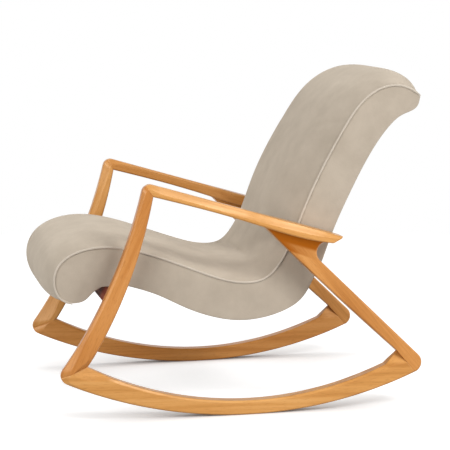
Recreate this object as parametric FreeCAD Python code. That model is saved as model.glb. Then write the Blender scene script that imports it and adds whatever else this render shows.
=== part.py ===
import FreeCAD, Part
import math
import os

# An upholstered rocking chair, in millimetres.  The sitter faces -Y, X = 0 is the plane of
# symmetry, +X is the sitter's left, and the rockers stand on Z = 0.

# ---------------------------------------------------------------- side frames: driving sizes
SEAT_HALF_WIDTH = 280.0      # to the outside of the seat's side panels
ARM_CLEARANCE = 10.0         # between a side panel and the widest part of the arm
PADDLE_INBOARD = 26.0        # how far the rear of the arm widens towards the seat
PADDLE_OUTBOARD = 13.0       # and away from it
FRAME_INNER_X = SEAT_HALF_WIDTH + ARM_CLEARANCE + PADDLE_INBOARD    # inner face of each frame
STOCK = 38.0                 # thickness of the frame stock, across the chair

SOLE_RADIUS = 1185.0         # curve of the rocker's sole
SOLE_LOW_Y = -5.0            # where the sole touches the floor
ROCKER_DEPTH = 38.0          # rocker at its thinnest, above the point of touch
ROCKER_FRONT_Y = -520.0      # lower front corner, before it is rounded
ROCKER_FRONT_DEPTH = 62.0    # depth of the rocker where the front leg joins it
ROCKER_REAR_Y = 494.0        # lower rear corner, before it is rounded
ROCKER_REAR_DEPTH = 75.0     # depth of the rocker where the rear leg joins it
REAR_SHOULDER = 47.0         # length of the shoulder that stands square to the rear leg

FRONT_LEG_FOOT = 49.0        # width of the front leg at the rocker
FRONT_LEG_HEAD = 31.0        # width of the front leg at the arm
FRONT_LEG_BOW = 30.0         # rise of the curve of its front edge
FRONT_LEG_REAR_BOW = 22.0    # rise of the curve of its rear edge

ARM_FRONT_Y = -286.0         # upper front corner, before it is rounded
ARM_FRONT_Z = 626.0
ARM_SLOPE = 16.33            # degrees that the arm falls towards the rear
ARM_LENGTH = 557.0           # along the top
ARM_BEAK = 27.0              # how far the top stands past the underside at the rear end
ARM_FRONT_DEPTH = 29.5       # at the front leg
ARM_WAIST_DEPTH = 27.0       # a third of the way back
ARM_MID_DEPTH = 29.7
ARM_HIP_DEPTH = 32.2         # over the rear leg
ARM_REAR_DEPTH = 30.4
ARM_TIP_DEPTH = 23.8         # at the beak
PADDLE_START, PADDLE_FULL = 0.50, 0.80   # where the widening starts and ends, along the arm
PADDLE_CORNER = 20.0         # rounding of the paddle's rear corners in plan
PADDLE_CORNER_PROUD = 0.3    # the rounding meets the paddle's sides at a slight angle

REAR_LEG_FOOT = 33.0         # width of the rear leg at the rocker
REAR_LEG_HEAD = 37.0         # and under the arm, before the flare
REAR_LEG_ARM_Y = 44.0        # where its lower edge meets the arm
REAR_LEG_HOLLOW = 3.4        # how far its lower edge is hollowed
REAR_LEG_FLARE = 30.0        # radius of the hollow between the leg's rear edge and the arm
REAR_LEG_MEET = 0.8          # cosine of the angle at which that hollow meets the arm
FLARE_UNDER_ARM = (0.80, 0.92)   # the stretch of the arm's underside that it meets
REAR_LEG_SWELL = 10.0        # how far the leg's outer face swells out under the arm

FRONT_LOW_ROUND = 24.0       # rounding of the frame's outer corners, seen from the side
FRONT_TOP_ROUND = 22.0
REAR_LOW_ROUND = 30.0

# ---------------------------------------------------------------- cross rails and joinery
RAIL_INSET = 3.0             # cross rail behind the front face of the leg
FRONT_RAIL_SLANT = 0.45      # the front rail leans with the leg: run over rise
FRONT_RAIL_BOTTOM_Z = 316.0
FRONT_RAIL_WIDTH = 36.0      # front to rear
REAR_RAIL_ALONG = 34.0       # from the seat towards the floor, along the rear leg

TENON_LENGTH, TENON_WIDTH, TENON_THICK = 30.0, 15.0, 8.0
TENON_FROM_OPENING = 8.0     # wood left between a tenon and the inner corner of the frame
DOWEL_DIAMETER = 10.0
RAIL_DOWEL_IN_LEG, RAIL_DOWEL_IN_RAIL = 22.0, 28.0
RAIL_DOWEL_PITCH = 16.0
ARM_DOWEL_IN_ARM, ARM_DOWEL_IN_LEG = 17.0, 26.0
ARM_DOWELS_AT = (82.0, 118.0)    # behind the front edge of the rear leg, along the arm

BOLT_DIAMETER = 8.0
BOLT_HEAD_DIAMETER, BOLT_HEAD_HEIGHT = 13.0, 5.0
WASHER_DIAMETER, WASHER_THICK = 18.0, 1.6
BOLT_X = 185.0               # bolts, from the plane of symmetry
BOLT_CLEARANCE = 0.5         # all round the bolt in the cross rail
FRONT_BOLT_FORWARD = 4.0     # front bolts, ahead of the middle of the rail's top
COUNTERBORE = 8.0            # depth of the recess for the bolt's head and washer
NUT_BARREL_DIAMETER, NUT_BARREL_LENGTH = 11.0, 14.0
NUT_FLANGE_DIAMETER, NUT_FLANGE_THICK = 22.0, 1.5

# ---------------------------------------------------------------- upholstery: driving sizes
COVER_THICK = 2.0            # cover fabric with its lining
WELT_RADIUS = 2.6

# The seam line of the side panel, seen from the side (Y, Z): up round the nose, along the seat,
# up the back and over the head roll.
TOP_LINE = [
    (-466.0, 305.0), (-494.0, 318.0), (-512.0, 356.0), (-500.0, 405.0), (-452.0, 438.0),
    (-362.0, 448.0), (-244.0, 420.0), (-126.0, 375.0), (-17.0, 343.0), (50.0, 351.0),
    (100.0, 401.0), (151.0, 514.0), (208.0, 640.0), (271.0, 753.0), (329.0, 829.0),
    (392.0, 861.0), (446.0, 856.0), (481.0, 834.0),
]
# How far the cover stands out from that line in the plane of symmetry, as (part of the line's
# length, rise).
CROWN = [(0.0, 0.0), (0.02, 21.0), (0.053, 31.0), (0.10, 36.0), (0.16, 35.0), (0.28, 33.0),
         (0.44, 44.0), (0.55, 50.0), (0.70, 55.0), (0.82, 52.0), (0.90, 46.0), (0.945, 43.0),
         (0.975, 41.0), (0.992, 30.0), (1.0, 0.0)]
# The lower edge of the side panel, from the head roll down the outside of the back and forward
# under the seat, in three stretches between two flats where the cross rails bear.
BACK_LINE = [(481.0, 834.0), (473.0, 806.0), (433.0, 785.0), (399.0, 758.0), (341.0, 678.0),
             (287.0, 576.0), (243.0, 480.0)]
BELLY_LINE = [(162.0, 315.0), (135.0, 290.0), (108.0, 274.0), (44.0, 247.0), (-22.0, 241.0),
              (-93.0, 254.0), (-167.0, 282.0), (-242.0, 319.0)]
NOSE_LINE = [(-412.0, 331.0), (-434.0, 311.0), (-466.0, 305.0)]
FRONT_BEARING = [(-322.0, 346.0), (-388.0, 346.0)]
REAR_BEARING = [(211.0, 393.0), (184.0, 341.0)]

# seat frame inside the upholstery
SIDE_RAIL_THICK = 18.0       # plywood
SIDE_RAIL_PADDING = 6.0      # between plywood and side panel
TOP_PADDING = 26.0           # foam above the plywood's edge, at the side
BOTTOM_PADDING = 7.0         # and below it
NOSE_SLAT_AT = (-470.0, 366.0)
HEAD_SLAT_AT, HEAD_SLAT_ALONG = (418.0, 806.0), (0.75, 0.66)
LUMBAR_SLAT_INSET = 24.0     # its centre, in from the outside back
LUMBAR_SLAT_ALONG = 0.25     # and how far down from the sixth to the fifth point of BACK_LINE
NOSE_SLAT_WIDTH, MOUNT_SLAT_WIDTH, LUMBAR_SLAT_WIDTH, HEAD_SLAT_WIDTH = 62.0, 60.0, 70.0, 50.0
WEBBING_THICK = 2.0
WEBBING_LET_IN = 0.8         # depth of the housing in the side rail for each strip
WEBBING_WIDTH = 50.0
WEBBING_PITCH = 66.0
SEAT_WEBBING = (0.09, 0.45)  # where the strips start and end, along the side rail's upper edge
BACK_WEBBING = (0.50, 0.95)
SLAT_THICK = 22.0
SCREW_DIAMETER, SCREW_LENGTH, SCREW_HEAD = 4.5, 50.0, 9.0
SCREW_PITCH = 22.0


# ---------------------------------------------------------------- plane geometry, (Y, Z) pairs
def add(a, b, scale=1.0):
    return (a[0] + b[0] * scale, a[1] + b[1] * scale)


def sub(a, b):
    return (a[0] - b[0], a[1] - b[1])


def dot(a, b):
    return a[0] * b[0] + a[1] * b[1]


def cross(a, b):
    return a[0] * b[1] - a[1] * b[0]


def size(a):
    return math.hypot(a[0], a[1])


def unit(a):
    return (a[0] / size(a), a[1] / size(a))


def left_of(a):
    return (-a[1], a[0])


def mix(a, b, t):
    return (a[0] + (b[0] - a[0]) * t, a[1] + (b[1] - a[1]) * t)


def at(x, p):
    """The point in space at X = x over a (Y, Z) pair."""
    return FreeCAD.Vector(x, p[0], p[1])


def flat(points):
    return [(p.y, p.z) for p in points]


def arc(a, middle, b, count=60):
    """Points along the circular arc from a to b through middle."""
    edge = Part.Arc(at(0, a), at(0, middle), at(0, b)).toShape()
    points = flat(edge.discretize(Number=count))
    return points if size(sub(points[0], a)) < size(sub(points[-1], a)) else points[::-1]


def bowed(a, b, rise, count=60):
    """An arc from a to b whose middle stands `rise` to the left of the straight line."""
    middle = add(mix(a, b, 0.5), left_of(unit(sub(b, a))), rise)
    return arc(a, middle, b, count)


def spline(points):
    curve = Part.BSplineCurve()
    curve.interpolate([at(0, p) for p in points])
    return curve


def spline_points(points, count=160):
    return flat(spline(points).toShape().discretize(Number=count))


def lengths(points):
    total = [0.0]
    for a, b in zip(points, points[1:]):
        total.append(total[-1] + size(sub(b, a)))
    return total


def point_at(points, distance):
    """The point at a distance along a line of points."""
    total = lengths(points)
    distance = min(max(distance, 0.0), total[-1])
    for i in range(1, len(total)):
        if distance <= total[i]:
            span = total[i] - total[i - 1]
            return mix(points[i - 1], points[i], (distance - total[i - 1]) / span if span else 0.0)
    return points[-1]


def part_of(points, start, end):
    """The stretch of a line of points between two distances."""
    total = lengths(points)
    inside = [p for p, d in zip(points, total) if start < d < end]
    return [point_at(points, start)] + inside + [point_at(points, end)]


def nearest_length(points, target):
    total = lengths(points)
    return min(zip(points, total), key=lambda pair: size(sub(pair[0], target)))[1]


def ease(start, end, t):
    """0 before start, 1 after end, and a smooth rise between."""
    s = min(max((t - start) / (end - start), 0.0), 1.0)
    return s * s * (3 - 2 * s)


def line_cross(p, along, q, heading):
    """Where the line through p along `along` meets the line through q along `heading`."""
    return add(p, along, cross(sub(q, p), heading) / cross(along, heading))


def inner_corner(corner, along_a, along_b, width_a, width_b):
    """Where the inner edges of two members meet, from the corner of their outer edges."""
    sine = abs(cross(along_a, along_b))
    return add(add(corner, along_a, width_b / sine), along_b, width_a / sine)


class Round:
    """A rounded outer corner: where it starts on each edge, and its middle."""

    def __init__(self, corner, along_a, along_b, radius):
        half = math.acos(dot(along_a, along_b)) / 2
        self.reach = radius / math.tan(half)
        bisector = unit(add(along_a, along_b))
        self.middle = add(corner, bisector, radius / math.sin(half) - radius)
        self.radius = radius


# ---------------------------------------------------------------- outline of a side frame
def sole_z(y):
    return SOLE_RADIUS - math.sqrt(SOLE_RADIUS ** 2 - (y - SOLE_LOW_Y) ** 2)


def sole_direction(y):
    slope = (y - SOLE_LOW_Y) / math.sqrt(SOLE_RADIUS ** 2 - (y - SOLE_LOW_Y) ** 2)
    return unit((1.0, slope))


ARM_DIRECTION = (math.cos(math.radians(ARM_SLOPE)), -math.sin(math.radians(ARM_SLOPE)))
ARM_DOWN = (ARM_DIRECTION[1], -ARM_DIRECTION[0])
FRONT_LOW = (ROCKER_FRONT_Y, sole_z(ROCKER_FRONT_Y))
FRONT_TOP = (ARM_FRONT_Y, ARM_FRONT_Z)
REAR_LOW = (ROCKER_REAR_Y, sole_z(ROCKER_REAR_Y))
ARM_TIP = add(FRONT_TOP, ARM_DIRECTION, ARM_LENGTH)

LEG_FRONT = bowed(FRONT_LOW, FRONT_TOP, -FRONT_LEG_BOW, 200)
LEG_UP = unit(sub(LEG_FRONT[4], LEG_FRONT[0]))
LEG_DOWN = unit(sub(LEG_FRONT[-5], LEG_FRONT[-1]))
FRONT_INNER = inner_corner(FRONT_LOW, LEG_UP, sole_direction(ROCKER_FRONT_Y),
                           FRONT_LEG_FOOT, ROCKER_FRONT_DEPTH)
TOP_INNER = inner_corner(FRONT_TOP, LEG_DOWN, ARM_DIRECTION, FRONT_LEG_HEAD, ARM_FRONT_DEPTH)


def under_arm(part, depth):
    return add(add(FRONT_TOP, ARM_DIRECTION, ARM_LENGTH * part), ARM_DOWN, depth)


ARM_BEAK_FOOT = add(add(ARM_TIP, ARM_DIRECTION, -ARM_BEAK), ARM_DOWN, ARM_TIP_DEPTH)
ARM_UNDERSIDE = spline_points([TOP_INNER, under_arm(0.35, ARM_WAIST_DEPTH),
                               under_arm(0.58, ARM_MID_DEPTH), under_arm(0.75, ARM_HIP_DEPTH),
                               under_arm(0.85, ARM_REAR_DEPTH), ARM_BEAK_FOOT], 300)

REAR_LEG_TOP = point_at(ARM_UNDERSIDE, nearest_length(
    ARM_UNDERSIDE, under_arm((REAR_LEG_ARM_Y - ARM_FRONT_Y) / (ARM_LENGTH * ARM_DIRECTION[0]),
                             ARM_MID_DEPTH)))


def rear_leg_direction():
    """Direction of the rear leg's upper edge: from the low corner past its width at the head."""
    direction = unit(sub(REAR_LEG_TOP, REAR_LOW))
    for _ in range(4):
        across = (-direction[1], direction[0])
        across = across if across[0] > 0 else (-across[0], -across[1])
        direction = unit(sub(add(REAR_LEG_TOP, across, REAR_LEG_HEAD), REAR_LOW))
    return direction, across


REAR_UP, REAR_ACROSS = rear_leg_direction()
REAR_INNER = inner_corner(REAR_LOW, REAR_UP, (-sole_direction(ROCKER_REAR_Y)[0],
                                              -sole_direction(ROCKER_REAR_Y)[1]),
                          REAR_LEG_FOOT, ROCKER_REAR_DEPTH)
SHOULDER_FOOT = add(REAR_INNER, REAR_ACROSS, -REAR_SHOULDER)
ROCKER_TOP_MIDDLE = (SOLE_LOW_Y, ROCKER_DEPTH)

FRONT_LOW_CORNER = Round(FRONT_LOW, LEG_UP, sole_direction(ROCKER_FRONT_Y), FRONT_LOW_ROUND)
FRONT_TOP_CORNER = Round(FRONT_TOP, LEG_DOWN, ARM_DIRECTION, FRONT_TOP_ROUND)
REAR_LOW_CORNER = Round(REAR_LOW, REAR_UP, (-sole_direction(ROCKER_REAR_Y)[0],
                                            -sole_direction(ROCKER_REAR_Y)[1]), REAR_LOW_ROUND)


def sole_points():
    """The sole between the two rounded corners."""
    start = ROCKER_FRONT_Y + FRONT_LOW_CORNER.reach * sole_direction(ROCKER_FRONT_Y)[0]
    end = ROCKER_REAR_Y - REAR_LOW_CORNER.reach * sole_direction(ROCKER_REAR_Y)[0]
    return arc((start, sole_z(start)), (SOLE_LOW_Y, 0.0), (end, sole_z(end)), 400)


def half_round(corner, start, end, first):
    """Half of a rounded corner, from its middle to its end, or from its start to its middle."""
    points = arc(start, corner.middle, end, 41)
    return points[:21] if first else points[20:]


SOLE = sole_points()
LEG_FRONT_STRAIGHT = part_of(LEG_FRONT, FRONT_LOW_CORNER.reach,
                             lengths(LEG_FRONT)[-1] - FRONT_TOP_CORNER.reach)
ARM_TOP = [add(FRONT_TOP, ARM_DIRECTION, FRONT_TOP_CORNER.reach), ARM_TIP]
REAR_EDGE_START = add(REAR_LOW, REAR_UP, REAR_LOW_CORNER.reach)

# Edges that run round the outside of the frame's loop, and those that bound its opening.
LEG_OUTSIDE = (half_round(FRONT_LOW_CORNER, SOLE[0], LEG_FRONT_STRAIGHT[0], False)
               + LEG_FRONT_STRAIGHT[1:]
               + half_round(FRONT_TOP_CORNER, LEG_FRONT_STRAIGHT[-1], ARM_TOP[0], True)[1:])
LEG_OPENING = bowed(FRONT_INNER, TOP_INNER, -FRONT_LEG_REAR_BOW, 200)
ROCKER_OUTSIDE = half_round(FRONT_LOW_CORNER, LEG_FRONT_STRAIGHT[0], SOLE[0], False) + SOLE[1:]
ROCKER_OPENING = arc(FRONT_INNER, ROCKER_TOP_MIDDLE, SHOULDER_FOOT, 200) + [REAR_INNER]
ARM_OUTSIDE = half_round(FRONT_TOP_CORNER, LEG_FRONT_STRAIGHT[-1], ARM_TOP[0], False) + [ARM_TIP]


def rear_leg_edges():
    """Rear edge of the rear leg with its hollow under the arm, and its lower front edge.
    Both run on into the arm, which cuts them off."""
    overrun = ARM_WAIST_DEPTH / 2
    total = lengths(ARM_UNDERSIDE)[-1]
    under = part_of(ARM_UNDERSIDE, FLARE_UNDER_ARM[0] * total, FLARE_UNDER_ARM[1] * total)
    along_arm = unit(sub(under[-1], under[0]))
    into_arm = left_of(along_arm)
    # the hollow's centre: one radius off the leg's edge, a little less below the arm
    below = REAR_LEG_MEET * REAR_LEG_FLARE
    centre = line_cross(add(REAR_LOW, REAR_ACROSS, REAR_LEG_FLARE), REAR_UP,
                        add(under[0], into_arm, -below), along_arm)
    start = add(centre, REAR_ACROSS, -REAR_LEG_FLARE)
    half_chord = REAR_LEG_FLARE * math.sqrt(1 - REAR_LEG_MEET ** 2)
    end = add(add(centre, into_arm, below), along_arm, -half_chord)
    middle = add(centre, unit(sub(mix(start, end, 0.5), centre)), REAR_LEG_FLARE)
    leaving = left_of(unit(sub(centre, end)))
    beyond = add(end, leaving, overrun / dot(leaving, into_arm))
    rear = (arc(SOLE[-1], REAR_LOW_CORNER.middle, REAR_EDGE_START, 60)
            + [mix(REAR_EDGE_START, start, k / 40) for k in range(1, 40)]
            + arc(start, middle, end, 60) + [mix(end, beyond, k / 4) for k in (1, 2, 3, 4)])
    lower = bowed(REAR_INNER, REAR_LEG_TOP, REAR_LEG_HOLLOW, 200)
    heading = unit(sub(lower[-1], lower[-4]))
    onward = add(lower[-1], heading, overrun / dot(heading, into_arm))
    return rear, lower + [mix(lower[-1], onward, k / 4) for k in (1, 2, 3, 4)]


REAR_LEG_OUTSIDE, REAR_LEG_OPENING = rear_leg_edges()


# ---------------------------------------------------------------- sculpted members
FINE_STEP, COARSE_STEP = 7.0, 42.0       # spacing of a member's sections: ends, middle
STEP_GROWTH = 1.35


def stations(total):
    """Distances from 0 to total, close together at both ends and wide apart between."""
    steps, step = [], FINE_STEP
    while sum(steps) + step < total / 2:
        steps.append(step)
        step = min(step * STEP_GROWTH, COARSE_STEP)
    steps = steps + steps[::-1]
    scale = total / sum(steps)
    places = [0.0]
    for step in steps:
        places.append(places[-1] + step * scale)
    return places


def smooth(knots, values, u):
    """A smooth curve through the values at the knots that never overshoots them."""
    secants = [(b - a) / (v - w) for a, b, w, v in zip(values, values[1:], knots, knots[1:])]
    slopes = [secants[0]]
    for a, b in zip(secants, secants[1:]):
        slopes.append(2 * a * b / (a + b) if a * b > 0 else 0.0)
    slopes.append(secants[-1])
    k = max(i for i in range(len(knots) - 1) if knots[i] <= u or i == 0)
    span = knots[k + 1] - knots[k]
    s = min((u - knots[k]) / span, 1.0)
    return ((2 * s ** 3 - 3 * s ** 2 + 1) * values[k] + (s ** 3 - 2 * s ** 2 + s) * slopes[k] * span
            + (3 * s ** 2 - 2 * s ** 3) * values[k + 1] + (s ** 3 - s ** 2) * slopes[k + 1] * span)


def member(outside, opening, rows):
    """A member of the side frame, lofted through eight-cornered sections.

    Each row is (distance on the outside edge, distance on the opening's edge, inner X, outer X,
    and four bevels as (across, down)): outside edge outer face, outside edge inner face,
    opening edge outer face, opening edge inner face.  Sections between are worked out.
    """
    rows = [list(row[:4]) + [value for bevel in row[4:] for value in bevel] for row in rows]
    knots = [(row[0] + row[1]) / 2 for row in rows]
    columns = list(zip(*rows))
    wires = []
    for u in stations(knots[-1]):
        values = [smooth(knots, column, u) for column in columns]
        a = point_at(outside, values[0])
        b = point_at(opening, values[1])
        bevels = list(zip(values[4::2], values[5::2]))
        wires.append(section(a, b, values[2], values[3], bevels))
    return Part.makeLoft(wires, True, False)


def section(a, b, x_in, x_out, bevels):
    down = unit(sub(b, a))
    width = size(sub(b, a))
    outer, inner, low_outer, low_inner = bevels
    corners = [(x_in + inner[0], 0), (x_out - outer[0], 0), (x_out, outer[1]),
               (x_out, width - low_outer[1]), (x_out - low_outer[0], width),
               (x_in + low_inner[0], width), (x_in, width - low_inner[1]), (x_in, inner[1])]
    points = [at(x, add(a, down, w)) for x, w in corners]
    return Part.makePolygon(points + points[:1])


FRAME_OUTER_X = FRAME_INNER_X + STOCK
SOFT = (3.0, 4.0)            # the small bevel that eases an arris
LOW_MITRE = [(12.0, 26.0), (16.0, 54.0), (14.0, 40.0), (5.0, 10.0)]
TOP_MITRE = [(8.0, 12.0), (12.0, 22.0), SOFT, SOFT]
HEEL_SHARE = 1.1             # length of sole under the shoulder, to the shoulder's own
REAR_BUTT = [(4.0, 5.0), (4.0, 5.0), (15.0, 42.0), (15.0, 42.0)]


def frame_row(outside, opening, bevels):
    """A row of a member that keeps the thickness of the stock."""
    return [outside, opening, FRAME_INNER_X, FRAME_OUTER_X] + bevels


def front_leg():
    out, opening = lengths(LEG_OUTSIDE)[-1], lengths(LEG_OPENING)[-1]
    rows = [
        frame_row(0, 0, LOW_MITRE),
        frame_row(24, 6, [(10, 22), (16, 46), (10, 24), (4, 7)]),
        frame_row(75, 28, [(7, 14), (16, 34), (5, 8), SOFT]),
        frame_row(120, 62, [(5, 8), (15, 26), SOFT, SOFT]),
        frame_row(0.5 * out, 0.46 * opening, [(5, 7), (12, 14), SOFT, SOFT]),
        frame_row(out - 100, opening - 82, [(4, 6), (12, 15), SOFT, SOFT]),
        frame_row(out - 44, opening - 32, [(6, 8), (12, 20), SOFT, SOFT]),
        frame_row(out - 18, opening - 10, [(7, 10), (12, 22), SOFT, SOFT]),
        frame_row(out, opening, TOP_MITRE),
    ]
    return member(LEG_OUTSIDE, LEG_OPENING, rows)


def rocker():
    out = lengths(ROCKER_OUTSIDE)[-1]
    curved = part_of(ROCKER_OPENING, 0, lengths(ROCKER_OPENING)[-1] - REAR_SHOULDER)
    opening = lengths(curved)[-1]
    plain = [SOFT, SOFT, (4, 6), (4, 6)]
    shoulder = [SOFT, SOFT, (6, 12), (6, 12)]
    heel = out - HEEL_SHARE * REAR_SHOULDER
    long_part = [
        frame_row(0, 0, LOW_MITRE),
        frame_row(24, 6, [(5, 8), (8, 16), (14, 38), (5, 10)]),
        frame_row(72, 30, [SOFT, (4, 6), (12, 28), (4, 8)]),
        frame_row(124, 70, [SOFT, SOFT, (5, 8), (4, 6)]),
        frame_row(0.5 * out, 0.47 * opening, plain),
        frame_row(heel - 90, opening - 80, plain),
        frame_row(heel, opening, shoulder),
    ]
    end = [frame_row(heel, 0, shoulder), frame_row(out, REAR_SHOULDER, REAR_BUTT)]
    step = part_of(ROCKER_OPENING, opening, opening + REAR_SHOULDER)
    return member(ROCKER_OUTSIDE, curved, long_part).fuse(
        member_between(ROCKER_OUTSIDE, step, end))


def member_between(outside, opening, rows):
    """A short straight piece of a member, between two rows."""
    wires = [section(point_at(outside, row[0]), point_at(opening, row[1]), row[2], row[3], row[4:])
             for row in rows]
    return Part.makeLoft(wires, True, True)


def rear_leg():
    out, opening = lengths(REAR_LEG_OUTSIDE)[-1], lengths(REAR_LEG_OPENING)[-1]
    heel = nearest_length(REAR_LEG_OUTSIDE, REAR_EDGE_START)
    eased = [SOFT, SOFT, SOFT, SOFT]

    def row(outside, inside, swell):
        return [outside, inside, FRAME_INNER_X, FRAME_OUTER_X + swell] + eased

    rows = [
        row(0, 0, 0), row(heel, 16, 0), row(heel + 60, 46, 0), row(heel + 150, 118, 0),
        row(out - 190, opening - 260, 0),
        row(out - 105, opening - 150, 0.05 * REAR_LEG_SWELL),
        row(out - 60, opening - 84, 0.5 * REAR_LEG_SWELL),
        row(out - 32, opening - 42, REAR_LEG_SWELL),
        row(out, opening, REAR_LEG_SWELL),
    ]
    return member(REAR_LEG_OUTSIDE, REAR_LEG_OPENING, rows)


def arm():
    out, opening = lengths(ARM_OUTSIDE)[-1], lengths(ARM_UNDERSIDE)[-1]

    def row(part, bevels):
        widen = ease(PADDLE_START, PADDLE_FULL, part)
        return [out * part, opening * part, FRAME_INNER_X - PADDLE_INBOARD * widen,
                FRAME_OUTER_X + PADDLE_OUTBOARD * widen] + bevels

    face = [(10, ARM_WAIST_DEPTH - 7), SOFT, SOFT, SOFT]
    rows = [frame_row(0, 0, TOP_MITRE),
            frame_row(18, 9, [(9, 16), (8, 16), SOFT, SOFT]),
            frame_row(44, 32, [(10, 20), (4, 7), SOFT, SOFT])]
    rows += [row(part, face) for part in (0.2, 0.35, PADDLE_START, 0.57, 0.65, 0.73)]
    rows += [row(PADDLE_FULL, face), row(0.9, [(9, 18), SOFT, SOFT, SOFT]),
             row(1.0, [(4, 8), SOFT, SOFT, SOFT])]
    return drilled(member(ARM_OUTSIDE, ARM_UNDERSIDE, rows), paddle_corners())


def paddle_corners():
    """What is taken off to round the paddle's rear corners in plan."""
    tools = []
    deep = 3 * ARM_REAR_DEPTH
    for edge, sense in ((FRAME_INNER_X - PADDLE_INBOARD, 1), (FRAME_OUTER_X + PADDLE_OUTBOARD, -1)):
        centre = add(add(ARM_TIP, ARM_DIRECTION, -PADDLE_CORNER), ARM_DOWN, -deep / 2)
        corners = [centre, add(centre, ARM_DIRECTION, 2 * PADDLE_CORNER)]
        corners += [add(p, ARM_DOWN, deep) for p in corners[::-1]]
        pivot = edge + sense * (PADDLE_CORNER - PADDLE_CORNER_PROUD)
        cube = box_between(edge - sense * PADDLE_CORNER, pivot, corners)
        tools.append(cube.cut(pin(pivot, centre, ARM_DOWN, deep, 2 * PADDLE_CORNER)))
    return tools


# ---------------------------------------------------------------- small solids
def box_between(x0, x1, corners):
    """A prism along X over a polygon of (Y, Z) corners."""
    face = Part.Face(Part.makePolygon([at(x0, p) for p in corners + corners[:1]]))
    return face.extrude(FreeCAD.Vector(x1 - x0, 0, 0))


def block(centre, along, length, width, x0, x1):
    """A prism along X over a rectangle turned so that its length runs `along`."""
    side = left_of(along)
    corners = [add(add(centre, along, sx * length / 2), side, sy * width / 2)
               for sx, sy in ((-1, -1), (1, -1), (1, 1), (-1, 1))]
    return box_between(x0, x1, corners)


def pin(x, start, direction, length, diameter):
    """A cylinder that lies in a plane X = x."""
    axis = FreeCAD.Vector(0, direction[0], direction[1])
    return Part.makeCylinder(diameter / 2, length, at(x, start), axis)


def cross_pin(x0, x1, centre, diameter):
    """A cylinder along X."""
    axis = FreeCAD.Vector(math.copysign(1, x1 - x0), 0, 0)
    return Part.makeCylinder(diameter / 2, abs(x1 - x0), at(x0, centre), axis)


def mirrored(shape):
    return shape.mirror(FreeCAD.Vector(0, 0, 0), FreeCAD.Vector(1, 0, 0))


def both_sides(shapes):
    return shapes + [mirrored(shape) for shape in shapes]


# ---------------------------------------------------------------- joints of the side frames
MID_X = FRAME_INNER_X + STOCK / 2


def tenon_at(rim, inner):
    """A loose tenon across the mitre or butt between `rim` and the frame's inner corner."""
    along = unit(sub(rim, inner))
    centre = add(inner, along, TENON_FROM_OPENING + TENON_WIDTH / 2)
    return block(centre, along, TENON_WIDTH, TENON_LENGTH, MID_X - TENON_THICK / 2,
                 MID_X + TENON_THICK / 2)


def arm_dowel(distance):
    start = point_at(ARM_UNDERSIDE, nearest_length(ARM_UNDERSIDE, REAR_LEG_TOP) + distance)
    top = add(start, ARM_DOWN, -ARM_DOWEL_IN_ARM)
    return pin(MID_X, top, ARM_DOWN, ARM_DOWEL_IN_ARM + ARM_DOWEL_IN_LEG, DOWEL_DIAMETER)


def rail_dowels(centre, along):
    """Two dowels from a cross rail into the leg beside it."""
    return [cross_pin(FRAME_INNER_X - RAIL_DOWEL_IN_RAIL, FRAME_INNER_X + RAIL_DOWEL_IN_LEG,
                      add(centre, along, side * RAIL_DOWEL_PITCH / 2), DOWEL_DIAMETER)
            for side in (-1, 1)]


# ---------------------------------------------------------------- cross rails
FRONT_RAIL_TOP_Z = FRONT_BEARING[0][1]
LEG_AT_RAIL = min(LEG_FRONT, key=lambda p: abs(p[1] - FRONT_RAIL_TOP_Z))
FRONT_RAIL_TOP = (LEG_AT_RAIL[0] + RAIL_INSET, FRONT_RAIL_TOP_Z)
FRONT_RAIL_FALL = FRONT_RAIL_TOP_Z - FRONT_RAIL_BOTTOM_Z
FRONT_RAIL_LEAN = FRONT_RAIL_FALL * FRONT_RAIL_SLANT
FRONT_RAIL = [FRONT_RAIL_TOP, add(FRONT_RAIL_TOP, (FRONT_RAIL_WIDTH, 0)),
              add(FRONT_RAIL_TOP, (FRONT_RAIL_WIDTH - FRONT_RAIL_LEAN, -FRONT_RAIL_FALL)),
              add(FRONT_RAIL_TOP, (-FRONT_RAIL_LEAN, -FRONT_RAIL_FALL))]

BEARING_UP = unit(sub(REAR_BEARING[0], REAR_BEARING[1]))
INTO_SEAT = left_of(BEARING_UP)
REAR_RAIL_FRONT = add(REAR_INNER, REAR_ACROSS, RAIL_INSET + REAR_LEG_HOLLOW)
REAR_RAIL_BACK = add(REAR_LOW, REAR_ACROSS, -RAIL_INSET)
REAR_RAIL_TOP = [line_cross(REAR_BEARING[0], BEARING_UP, edge, REAR_UP)
                 for edge in (REAR_RAIL_FRONT, REAR_RAIL_BACK)]
REAR_RAIL = REAR_RAIL_TOP + [add(p, REAR_UP, -REAR_RAIL_ALONG) for p in REAR_RAIL_TOP[::-1]]


def middle(points):
    return (sum(p[0] for p in points) / len(points), sum(p[1] for p in points) / len(points))


def cross_rail(corners, legs):
    """A rail whose ends are scribed to the legs' inner faces."""
    reach = FRAME_INNER_X + STOCK / 3
    rail = box_between(-reach, reach, corners)
    for leg in legs:
        rail = rail.cut(leg)
    return max(rail.Solids, key=lambda solid: solid.Volume)


# ---------------------------------------------------------------- bolts that hold the seat
FRONT_BOLT_FOOT = (middle(FRONT_RAIL[:2])[0] - FRONT_BOLT_FORWARD,
                   FRONT_RAIL_BOTTOM_Z)
REAR_BOLT_HEAD = line_cross(middle(REAR_RAIL), INTO_SEAT, REAR_RAIL[2],
                            unit(sub(REAR_RAIL[3], REAR_RAIL[2])))


def bolt_run(foot, up, bearing):
    """Lengths along a bolt from the rail's outer face: to the seat frame, and to the nut."""
    to_cover = dot(sub(bearing, foot), up)
    return to_cover + COVER_THICK, to_cover + COVER_THICK + SLAT_THICK


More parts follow.
